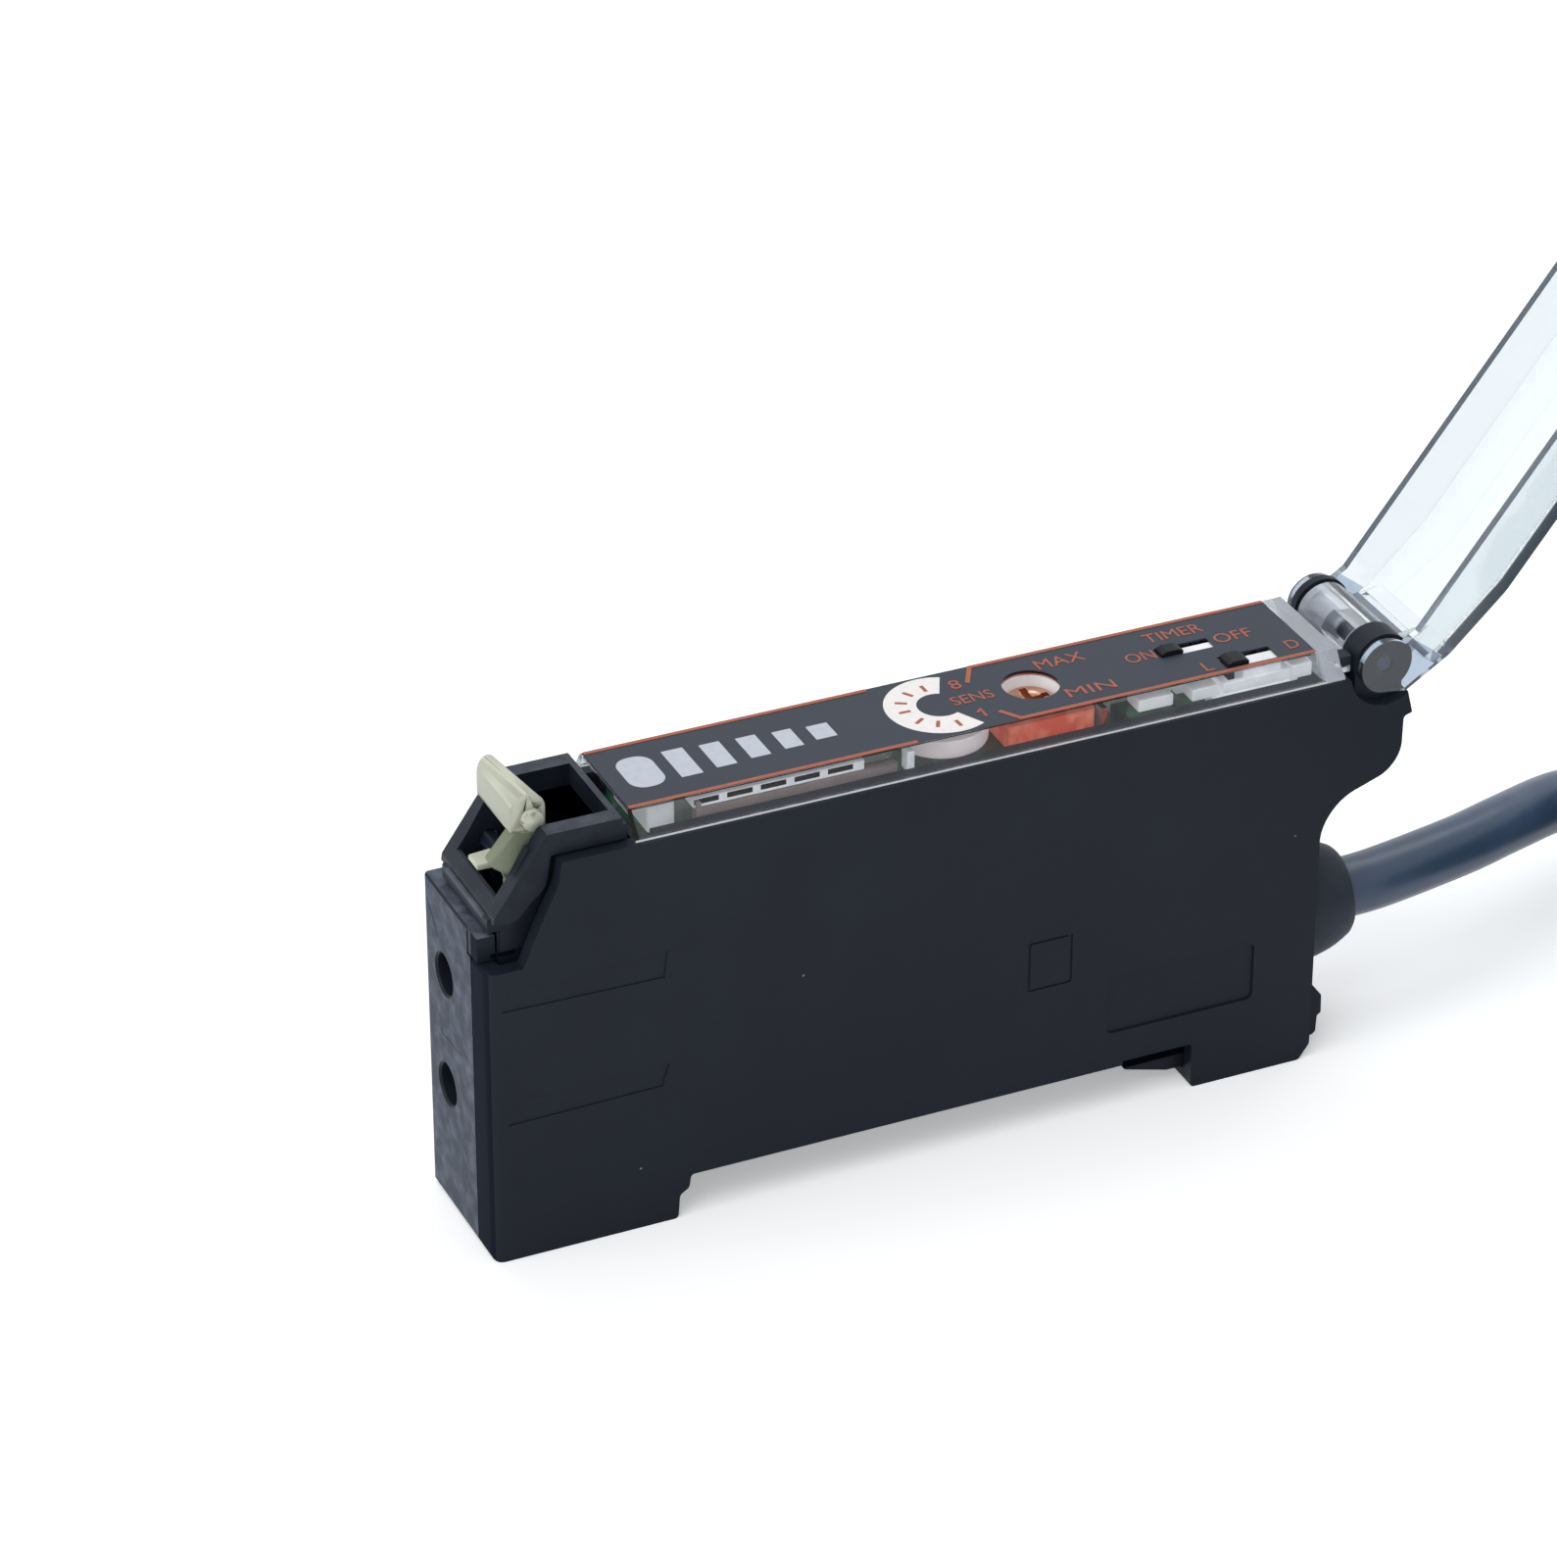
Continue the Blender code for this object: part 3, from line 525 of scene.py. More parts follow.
@dataclass(frozen=True)
class MouldedPlastic(Finish):
    """Injection-moulded plastic: an even colour, a fine eroded grain and a few dust specks."""

    colour: str = "#1c212b"
    worn: str = "#262b36"
    dust: str = "#7d8797"
    roughness: float = 0.42
    blotch: float = 9.0
    blotch_share: float = 0.35
    grain: float = 0.16
    grain_height: float = 0.006
    dust_pitch: float = 3.4
    dust_size: float = 0.1
    dust_share: float = 0.3
    specular: float = 0.12
    # strength of a glow in the surface's own colour: painted light, for pieces that are no lamps
    glow: float = 0.0

    def surface(self, graph: Graph) -> Socket:
        """Base colour with cloudy wear, grain bump and dust on a Principled shader."""
        # clouds millimetres wide make the moulding slightly uneven, as handling does
        cloud = graph.noise(self.blotch)
        cloudy = graph.ranged(cloud, (0.0, self.blotch_share), (0.42, 0.72))
        base = graph.mixed(cloudy, srgb(self.colour), srgb(self.worn))
        dusty = graph.mixed(self.specks(graph), base, srgb(self.dust))
        # worn places scatter the light a little more
        rough = graph.ranged(cloud, (self.roughness - 0.05, self.roughness + 0.08))
        return graph.add(
            "ShaderNodeBsdfPrincipled",
            {
                "Base Color": dusty,
                "Roughness": rough,
                "Normal": graph.bump(graph.noise(self.grain, 2.0), self.grain_height),
                "IOR": PLASTIC_IOR,
                "Specular IOR Level": self.specular,
                # the glow is painted light
                "Emission Color": dusty,
                "Emission Strength": self.glow,
            },
        ).outputs["BSDF"]

    def specks(self, graph: Graph) -> Socket:
        """One in the dust specks, small dots at the middle of a share of the cells."""
        cells = graph.add(
            "ShaderNodeTexVoronoi", {"Vector": graph.place(), "Scale": per_mm(self.dust_pitch)}
        )
        soft_edge = (self.dust_size / self.dust_pitch, 0.4 * self.dust_size / self.dust_pitch)
        near = graph.ranged(cells.outputs["Distance"], (0.0, 1.0), soft_edge)
        chance = graph.add("ShaderNodeSeparateColor", {"Color": cells.outputs["Color"]})
        chosen = graph.math("LESS_THAN", chance.outputs["Red"], self.dust_share)
        return graph.math("MULTIPLY", near, chosen)


@dataclass(frozen=True)
class ClearPlastic(Finish):
    """Clear polycarbonate: see-through, glossy and faintly blue, and it casts no shadow."""

    tint: str = "#f2f6f8"
    roughness: float = 0.02
    haze_share: float = 0.0
    ior: float = 1.58
    ripple: float = 6.0
    ripple_height: float = 0.02
    ripple_strength: float = 0.6

    def surface(self, graph: Graph) -> Socket:
        """Glass-like Principled with a little milkiness, and plain transparency for shadow rays."""
        # moulding waves bend the mirror images slightly
        waves = graph.noise(self.ripple, 1.0)
        clear = graph.add(
            "ShaderNodeBsdfPrincipled",
            {
                "Base Color": srgb(self.tint),
                "Roughness": self.roughness,
                "IOR": self.ior,
                "Transmission Weight": 1.0 - self.haze_share,
                "Normal": graph.bump(waves, self.ripple_height, self.ripple_strength),
            },
        ).outputs["BSDF"]
        # light reaches the parts under the window undimmed
        through = graph.add("ShaderNodeBsdfTransparent", {"Color": srgb("#ffffff")}).outputs["BSDF"]
        shadow = graph.add("ShaderNodeLightPath").outputs["Is Shadow Ray"]
        return graph.add("ShaderNodeMixShader", {0: shadow, 1: clear, 2: through}).outputs[0]


@dataclass(frozen=True)
class PrintedFilm(Finish):
    """Polycarbonate film printed from behind: flat slate grey with a soft satin skin."""

    colour: str = "#2f3744"
    roughness: float = 0.4
    specular: float = 0.2
    cloud: float = 5.0
    texture: float = 0.12
    texture_height: float = 0.002

    def surface(self, graph: Graph) -> Socket:
        """Slightly uneven colour with a very fine texture."""
        tone = graph.add(
            "ShaderNodeHueSaturation",
            {
                "Color": srgb(self.colour),
                "Value": graph.ranged(graph.noise(self.cloud), (0.92, 1.08)),
            },
        ).outputs["Color"]
        return graph.add(
            "ShaderNodeBsdfPrincipled",
            {
                "Base Color": tone,
                "Roughness": self.roughness,
                "Normal": graph.bump(graph.noise(self.texture, 1.0), self.texture_height),
                "Specular IOR Level": self.specular,
            },
        ).outputs["BSDF"]


@dataclass(frozen=True)
class ScreenInk(Finish):
    """Screen-printed ink: solid colour, thin enough at places to look a little mottled."""

    colour: str = "#a35236"
    thin: str = "#844230"
    roughness: float = 0.5
    mottle: float = 0.5

    def surface(self, graph: Graph) -> Socket:
        """Two close tones mixed by a fine noise."""
        share = graph.ranged(graph.noise(self.mottle), (0.0, 0.6), (0.45, 0.75))
        ink = graph.mixed(share, srgb(self.colour), srgb(self.thin))
        inputs = {"Base Color": ink, "Roughness": self.roughness}
        return graph.add("ShaderNodeBsdfPrincipled", inputs).outputs["BSDF"]


@dataclass(frozen=True)
class DrawnMetal(Finish):
    """Turned or drawn metal: bright, with fine tool marks."""

    colour: str = "#8f949c"
    roughness: float = 0.28
    mark: float = 0.2
    mark_height: float = 0.003

    def surface(self, graph: Graph) -> Socket:
        """Metallic Principled with roughness and bump from a fine noise."""
        marks = graph.noise(self.mark, 2.0)
        return graph.add(
            "ShaderNodeBsdfPrincipled",
            {
                "Base Color": srgb(self.colour),
                "Metallic": 1.0,
                "Roughness": graph.ranged(marks, (self.roughness - 0.1, self.roughness + 0.15)),
                "Normal": graph.bump(marks, self.mark_height),
            },
        ).outputs["BSDF"]


@dataclass(frozen=True)
class SolderMask(Finish):
    """Circuit board: green lacquer over copper tracks that show as paler lines."""

    colour: str = "#16402c"
    track: str = "#2c6247"
    pitch: float = 1.3
    roughness: float = 0.25
    coat: float = 0.4

    def surface(self, graph: Graph) -> Socket:
        """Lacquer with a wavy band pattern of tracks."""
        wave = {"Vector": graph.place(), "Scale": per_mm(self.pitch) / 6.0, "Distortion": 3.0}
        bands = graph.add("ShaderNodeTexWave", wave).outputs["Fac"]
        # only the crests of the bands are tracks, so the lacquer between them is wider
        lines = graph.ranged(bands, (0.0, 1.0), (0.72, 0.8))
        inputs = {
            "Base Color": graph.mixed(lines, srgb(self.colour), srgb(self.track)),
            "Roughness": self.roughness,
            "Coat Weight": self.coat,
        }
        return graph.add("ShaderNodeBsdfPrincipled", inputs).outputs["BSDF"]


@dataclass(frozen=True)
class CordJacket(Finish):
    """Extruded PVC jacket: satin, with shallow unevenness and finger marks."""

    colour: str = "#374a63"
    rubbed: str = "#4a5f7c"
    roughness: float = 0.3
    finger_mark: float = 7.0
    swelling: float = 1.6
    swelling_height: float = 0.03

    def surface(self, graph: Graph) -> Socket:
        """Two tones of jacket with a soft bump."""
        marks = graph.noise(self.finger_mark)
        share = graph.ranged(marks, (0.0, 0.5), (0.45, 0.7))
        return graph.add(
            "ShaderNodeBsdfPrincipled",
            {
                "Base Color": graph.mixed(share, srgb(self.colour), srgb(self.rubbed)),
                "Roughness": graph.ranged(marks, (self.roughness - 0.06, self.roughness + 0.12)),
                "Normal": graph.bump(graph.noise(self.swelling, 1.0), self.swelling_height),
                "IOR": PLASTIC_IOR,
            },
        ).outputs["BSDF"]


@dataclass(frozen=True)
class Backdrop(Finish):
    """White paper: matt, and plain white where the camera or a mirror image sees it lit."""

    colour: str = "#f4f5f6"
    lift: float = 0.35

    def surface(self, graph: Graph) -> Socket:
        """Diffuse paper with a lift for camera, glossy and transmission rays only."""
        matt = {"Color": srgb(self.colour), "Roughness": 0.5}
        paper = graph.add("ShaderNodeBsdfDiffuse", matt).outputs["BSDF"]
        glow = {"Color": srgb("#ffffff"), "Strength": self.lift}
        lift = graph.add("ShaderNodeEmission", glow).outputs["Emission"]
        bright = graph.add("ShaderNodeAddShader", {0: paper, 1: lift}).outputs[0]
        rays = {0: graph.seen(), 1: paper, 2: bright}
        return graph.add("ShaderNodeMixShader", rays).outputs[0]


@dataclass(frozen=True)
class Finishes:
    """Every finish of the object."""

    # ABS moulding: near-black with a blue cast, satin
    case: Finish = MouldedPlastic("moulded ABS case")
    # the fibre face is spark-eroded more coarsely, so it looks paler and blotchy
    eroded: Finish = MouldedPlastic(
        "spark-eroded ABS face",
        colour="#3e4551",
        worn="#6c7583",
        roughness=0.6,
        blotch=1.2,
        blotch_share=0.7,
        grain=0.3,
        grain_height=0.02,
        dust_pitch=1.7,
    )
    # the case's front round the fibre face, dull enough to stay dark beside the white floor
    dull: Finish = MouldedPlastic("dull ABS case front", roughness=0.6, specular=0.01)
    # glossier black moulding with paler rubbed places
    housing: Finish = MouldedPlastic(
        "moulded nylon housing",
        colour="#1f242d",
        worn="#2e343f",
        roughness=0.38,
        blotch=2.0,
        blotch_share=0.6,
    )
    # the housing's rims: their top faces take this paler finish as a painted highlight
    rubbed: Finish = MouldedPlastic(
        "rubbed nylon rim",
        colour="#353b44",
        worn="#4c545f",
        roughness=0.5,
        blotch=1.2,
        blotch_share=0.8,
    )
    # the housing's lowest front edge, a pale line that is a painted highlight
    edge_highlight: Finish = MouldedPlastic(
        "scuffed nylon edge",
        colour="#48505b",
        worn="#5d6672",
        roughness=0.5,
        blotch=1.0,
        blotch_share=0.8,
    )
    # acetal lever in a greenish cream
    lever: Finish = MouldedPlastic(
        "cream acetal lever",
        colour="#cfd1bf",
        worn="#bcbfa9",
        dust="#e8e8dc",
        roughness=0.38,
        blotch=4.0,
        grain=0.25,
        grain_height=0.003,
    )
    # the lever's arm, darker olive as painted shade, and dull
    lever_shade: Finish = MouldedPlastic(
        "yellowed acetal side",
        colour="#858b76",
        worn="#777e69",
        dust="#c8c9b8",
        roughness=0.5,
        blotch=2.0,
    )
    # flexible PVC of the boot, dull
    boot: Finish = MouldedPlastic(
        "flexible PVC boot", colour="#343a44", worn="#47505d", roughness=0.5, blotch=3.0
    )
    # paler rim of the boot's nose
    boot_rim: Finish = MouldedPlastic(
        "dusty PVC rim", colour="#4d5860", worn="#65727a", roughness=0.6, blotch=1.5
    )
    # slide knobs, near black
    knob: Finish = MouldedPlastic(
        "moulded black knob", colour="#17191d", worn="#24272d", dust_share=0.0, roughness=0.4
    )
    # switch bodies and lights in off-white, with painted light: a weak glow that brightens them
    # under the window
    white: Finish = MouldedPlastic(
        "white moulded nylon",
        colour="#e6e6e8",
        worn="#cfd1d6",
        dust="#f2f2f2",
        roughness=0.35,
        blotch=1.6,
        blotch_share=0.7,
        grain_height=0.002,
        glow=0.22,
    )
    # translucent dial with painted light: a faint pink for the red body's light beside it, and a
    # weak glow
    dial: Finish = MouldedPlastic(
        "milky dial plastic",
        colour="#e6d9dc",
        worn="#d6c4c8",
        dust="#f2f2f2",
        roughness=0.25,
        blotch=2.0,
        grain_height=0.001,
        glow=0.3,
    )
    # red-orange body of the adjuster, with painted light: a weak glow
    orange: Finish = MouldedPlastic(
        "orange polyester body",
        colour="#d4553f",
        worn="#eb9478",
        dust="#f0b0a0",
        roughness=0.3,
        blotch=1.2,
        blotch_share=0.8,
        grain_height=0.001,
        glow=0.25,
    )
    # brownish phenolic strip under the light bar
    tan: Finish = MouldedPlastic(
        "tan phenolic strip",
        colour="#8f807f",
        worn="#a39896",
        dust="#c0b6b4",
        roughness=0.5,
        blotch=2.0,
    )
    # window block, polished and colourless; its IOR is under polycarbonate's 1.58, so that it
    # bends the light less and the parts under it can be made out
    clear: Finish = ClearPlastic("clear polycarbonate", ior=1.32)
    # foot of the window block, whitish as a painted highlight along its lower edge
    frosted: Finish = ClearPlastic(
        "frosted polycarbonate edge", tint="#f4f6f8", roughness=0.4, haze_share=0.75
    )
    # the block's rear flange, moulded less clear, so it looks whitish
    hazy: Finish = ClearPlastic(
        "hazy polycarbonate", tint="#e3eaf4", roughness=0.15, haze_share=0.16
    )
    # protective cover, faintly blue-grey through its thickness
    lid: Finish = ClearPlastic("tinted clear polycarbonate", tint="#e9eff1", haze_share=0.05)
    # cut and ejected edges of the cover, tinted dark as painted shade, so they read as dark lines
    lid_edge_shade: Finish = ClearPlastic(
        "clear polycarbonate rim", tint="#56616e", roughness=0.15, haze_share=0.5
    )
    # ears at the hinge, thick enough to look a little smoky before the dark bosses
    lid_ear: Finish = ClearPlastic(
        "thick clear polycarbonate", tint="#aab8c8", roughness=0.05
    )
    # label film, slate grey and matt
    film: Finish = PrintedFilm("printed film")
    # border lines and legends, a muted orange
    orange_ink: Finish = ScreenInk("orange ink")
    # windows of clear film over the lights, white from the lights behind
    white_ink: Finish = ScreenInk(
        "white window ink", colour="#c0c7d2", thin="#b0b9c6", roughness=0.3
    )
    # the dial's scale, a warmer white than the windows
    dial_ink: Finish = ScreenInk("white dial ink", colour="#f4f0ec", thin="#e6e2e0", roughness=0.4)
    # hinge pin and fibre clamp, grey
    steel: Finish = DrawnMetal("drawn steel pin", colour="#6f747c")
    # adjuster screw, a pinkish brass
    brass: Finish = DrawnMetal("turned brass screw", colour="#c79a83", roughness=0.3)
    # boards, green in the dark under the window
    board: Finish = SolderMask("green circuit board")
    # cable jacket, blue-grey
    jacket: Finish = CordJacket("PVC cable jacket")
    # band round the coil, black and a little shiny
    tie: Finish = MouldedPlastic(
        "nylon cable tie", colour="#1b1d21", worn="#2a2d33", roughness=0.35
    )
    # the three cores and their tinned strands
    brown: Finish = MouldedPlastic(
        "brown core insulation", colour="#5a3a26", worn="#694631", roughness=0.3
    )
    black: Finish = MouldedPlastic(
        "black core insulation", colour="#202124", worn="#2c2d31", roughness=0.3
    )
    blue: Finish = MouldedPlastic(
        "blue core insulation", colour="#2b4f96", worn="#3a60a8", roughness=0.3
    )
    copper: Finish = DrawnMetal("tinned copper strand", colour="#b9b3a8", roughness=0.35)
    # floor under the object
    paper: Finish = Backdrop("white paper")


FINISH = Finishes()


@dataclass(frozen=True)
class Studio:
    """Paper, lamps and camera, in metres in the frame of the CAD."""

    camera_place: Place = (-0.136412, -0.282791, 0.205688)
    pitch: float = -0.532
    yaw: float = 0.424
    lens: float = 136.87
    sensor: float = 36.0
    floor_size: float = 4.0
    ambient: float = 0.45
    ambient_colour: tuple[float, ...] = (0.94, 0.97, 1.0, 1.0)

    def build(self) -> None:
        """Sets up everything round the object."""
        scene = bpy.context.scene
        scene.view_settings.view_transform = "Standard"
        self.camera()
        self.floor()
        self.world()
        self.lamp("key softbox", (-0.45, -0.3, 0.8), (0.6, 0.6), 2.6)
        self.lamp("top softbox", (0.2, 0.35, 0.85), (0.9, 0.5), 3.2)
        self.lamp("face softbox", (-0.8, 0.1, 0.25), (0.4, 0.4), 1.5)

    def camera(self) -> None:
        """Camera at the photograph's viewing angle."""
        data = bpy.data.cameras.new("camera")
        data.lens = self.lens
        data.sensor_width = self.sensor
        data.clip_start = 0.01
        camera = bpy.data.objects.new("camera", data)
        camera.location = self.camera_place
        camera.rotation_euler = (math.pi / 2 + self.pitch, 0.0, -self.yaw)
        bpy.context.scene.collection.objects.link(camera)
        bpy.context.scene.camera = camera

    def floor(self) -> None:
        """Paper under the feet."""
        shape = bmesh.new()
        bmesh.ops.create_grid(shape, x_segments=1, y_segments=1, size=self.floor_size / 2)
        bmesh.ops.translate(shape, verts=shape.verts, vec=(0, 0, -SEAT.z * MM))
        data = bpy.data.meshes.new("floor")
        shape.to_mesh(data)
        shape.free()
        floor = bpy.data.objects.new("floor", data)
        data.materials.append(FINISH.paper.material())
        bpy.context.scene.collection.objects.link(floor)

    def world(self) -> None:
        """Even light all round, plain white where it is seen or mirrored."""
        world = bpy.data.worlds.new("studio")
        world.use_nodes = True
        world.node_tree.nodes.clear()
        graph = Graph(world.node_tree)
        # a cool, dim light on the object, and white behind it
        dim = graph.add(
            "ShaderNodeBackground", {"Color": self.ambient_colour, "Strength": self.ambient}
        )
        white = graph.add("ShaderNodeBackground", {"Color": srgb("#ffffff"), "Strength": 1.0})
        rays = {0: graph.seen(), 1: dim.outputs[0], 2: white.outputs[0]}
        mix = graph.add("ShaderNodeMixShader", rays)
        graph.add("ShaderNodeOutputWorld", {"Surface": mix.outputs[0]})
        bpy.context.scene.world = world

    def lamp(self, name: str, place: Place, size: Span, power: float) -> None:
        """Soft area lamp aimed at the object.

        Args:
            name: the lamp's name.
            place: where it hangs.
            size: its width and height.
            power: watts.
        """
        data = bpy.data.lights.new(name, "AREA")
        data.shape = "RECTANGLE"
        data.size, data.size_y = size
        data.energy = power
        lamp = bpy.data.objects.new(name, data)
        lamp.location = place
        lamp.rotation_euler = (-Vector(place)).to_track_quat("-Z", "Y").to_euler()
        bpy.context.scene.collection.objects.link(lamp)


@dataclass
class Cable:
    """Moulded-in 4 mm cable of two metres: lead, coil, tie and bare cores."""

    radius: float = 2.0
    length: float = 2000.0
    tip: float = 61.15
    coil_offset: Span = (46.35, -18.1)
    coil_inner: float = 13.9
    coil_outer: float = 28.2
    coil_height: float = 20.4
    layers: int = 5
    pitch: float = 4.05
    outer_turn: float = 26.1
    inner_turn: float = 16.0
    turn_points: int = 32
    lie: float = 2.05
    first_angle: float = 90.0
    end_points: int = 6
    end_spread: float = 0.45
    in_boot: float = 1.6
    core_radius: float = 0.6
    core_points: int = 24
    strand_points: int = 4
    core_turn: float = 60.0
    core_rise: float = 0.9
    core_start: float = -12.0
    tie_angle: float = 120.0
    tie_half: float = 1.3
    tie_thick: float = 0.5
    # offsets from the boot's tip, as the CAD's cable has them, and on to the coil
    route: tuple[Place, ...] = (
        (0.0, 0.0, 8.75),
        (1.2, 0.05, 8.75),
        (2.85, 0.25, 8.75),
        (6.15, 0.85, 8.75),
        (9.85, 1.7, 8.7),
        (13.65, 2.9, 8.6),
        (18.65, 4.85, 8.0),
        (22.85, 6.2, 6.8),
        (25.9, 6.95, 5.65),
        (30.0, 7.65, 4.1),
        (34.0, 7.95, 2.95),
        (38.0, 8.0, 2.3),
        (42.0, 8.0, 2.05),
    )

    @property
    def middle(self) -> Span:
        """Where the coil's axis stands."""
        return (self.tip + self.coil_offset[0], self.coil_offset[1])

    def lead(self) -> list[Vector]:
        """Points from the boot to the coil, smoothed through the route."""
        places = [Vector((self.tip + x, y, z)) for x, y, z in self.route]
        coil_start = self.on_coil(self.outer_turn, self.first_angle, self.lie)
        places = [2 * places[0] - places[1], *places, coil_start]
        points = []
        steps = 4
        for p0, p1, p2, p3 in zip(places, places[1:], places[2:], places[3:]):
            bend = 2 * p0 - 5 * p1 + 4 * p2 - p3
            turn = 3 * p1 - p0 - 3 * p2 + p3
            for k in range(steps):
                t = k / steps
                points.append((2 * p1 + (p2 - p0) * t + bend * t * t + turn * t**3) / 2)
        return points + [places[-2]]

    def coil(self) -> list[Vector]:
        """Points of the turns, which spiral in on one layer and out on the next."""
        angle, reach, height = self.first_angle, self.outer_turn, self.lie
        step = 360.0 / self.turn_points
        turns = (self.outer_turn - self.inner_turn) / self.pitch
        points = [self.on_coil(reach, angle, height)]
        climb = self.turn_points // 4
        for layer in range(self.layers):
            target = self.outer_turn if layer % 2 else self.inner_turn
            count = round(turns * self.turn_points)
            start = reach
            for k in range(1, count + 1):
                angle -= step
                reach = start + (target - start) * k / count
                points.append(self.on_coil(reach, angle, height))
            low = height
            for k in range(1, climb + 1):
                angle -= step
                share = k / climb
                height = low + self.pitch * share * share * (3 - 2 * share)
                points.append(self.on_coil(reach, angle, height))
        # the last bit of jacket leans outwards over the top layer and crosses the tie
        for k in range(1, self.end_points + 1):
            angle -= step
            points.append(self.on_coil(reach + self.end_spread * k, angle, height))
        return points

    def on_coil(self, reach: float, degrees: float, height: float) -> Vector:
        """Point at a distance from the coil's middle, an angle and a height."""
        angle = math.radians(degrees)
        x, y = self.middle
        return Vector((x + reach * math.cos(angle), y + reach * math.sin(angle), height))

    def tube(
        self, name: str, points: Sequence[Vector], radius: float, finish: Finish
    ) -> bpy.types.Object:
        """Round cord along points.

        Args:
            name: the piece's name.
            points: its centreline in the working frame.
            radius: its radius in millimetres.
            finish: its finish.

        Returns:
            The curve object.
        """
        curve = bpy.data.curves.new(name, "CURVE")
        curve.dimensions = "3D"
        curve.bevel_depth = radius * MM
        curve.bevel_resolution = 6
        curve.use_fill_caps = True
        spline = curve.splines.new("POLY")
        spline.points.add(len(points) - 1)
        for place, point in zip(spline.points, points):
            place.co = (*(TO_ROW @ point), 1.0)
        spline.use_smooth = True
        curve.materials.append(finish.material())
        obj = bpy.data.objects.new(name, curve)
        bpy.context.scene.collection.objects.link(obj)
        return obj

    def cores(self) -> list[bpy.types.Object]:
        """Three bare cores and their stripped strands, where the CAD has them on the coil.

        The jacket's own end lies elsewhere on the coil, near the tie, so they are apart from it.

        Returns:
            The cores and their strands.
        """
        made = []
        names = (("brown", FINISH.brown), ("black", FINISH.black), ("blue", FINISH.blue))
        height = self.coil_height + 0.3 + self.core_radius
        middle = (self.coil_inner + self.coil_outer) / 2
        for number, (colour, finish) in enumerate(names):
            path = []
            for step in range(self.core_points + self.strand_points):
                share = step / self.core_points
                # they start raised and side by side, and fan out as they come down
                reach = middle + (number - 1) * (0.8 + 3.6 * share * share)
                rise = max(0.0, 1.0 - step / 5) * self.core_rise
                angle = self.core_start - self.core_turn * share
                path.append(self.on_coil(reach, angle, height + rise))
            sleeve, bare = path[: self.core_points], path[self.core_points - 1 :]
            core = self.tube(f"core_{colour}_insulation", sleeve, self.core_radius, finish)
            thin = self.core_radius * 0.62
            strand = self.tube(f"core_{colour}_strand", bare, thin, FINISH.copper)
            placed(core, Body.CASE, [f"core_{colour}"])
            placed(strand, Body.CASE)
            made += [core, strand]
        return made

    def tie(self) -> bpy.types.Object:
        """Band round the coil's turns, closed by its head."""
        inner, outer, high = self.coil_inner - 0.1, self.coil_outer + 0.1, self.coil_height + 0.1
        thick = self.tie_thick
        ring = [
            (inner - thick, 0.0, 2.4),
            (outer + thick, 0.0, 2.4),
            (outer + thick, high + thick, 2.4),
            (inner - thick, high + thick, 2.4),
        ]
        hole = [(inner, thick, 2.0), (outer, thick, 2.0), (outer, high, 2.0), (inner, high, 2.0)]
        strap = Shape.prism(ring, Axis.Y, -self.tie_half, self.tie_half)
        strap.cut(Shape.prism(hole, Axis.Y, -2.0, 2.0))
        strap.join(
            Shape.block((18.5, 22.0), (-1.9, 1.9), (high + 0.1, high + 1.6), 0.4),
            Shape.block((21.5, 26.5), (-1.2, 1.2), (high + 0.4, high + 0.95), 0.4),
        )
        middle = Vector((*self.middle, 0.0))
        bmesh.ops.translate(strap.mesh, verts=strap.mesh.verts, vec=middle)
        strap.turn(self.tie_angle, Axis.Z, middle)
        return strap.settle("coil_tie", [FINISH.tie], Body.CASE, edge=0.12)

    def build(self) -> None:
        points = self.lead() + self.coil()
        inside = points[0] - Vector((self.in_boot, 0.0, 0.0))
        cable = self.tube("cable_jacket_tube", [inside, *points], self.radius, FINISH.jacket)
        placed(cable, Body.CASE, ["cable", "cable_coil"])
        self.cores()
        self.tie()


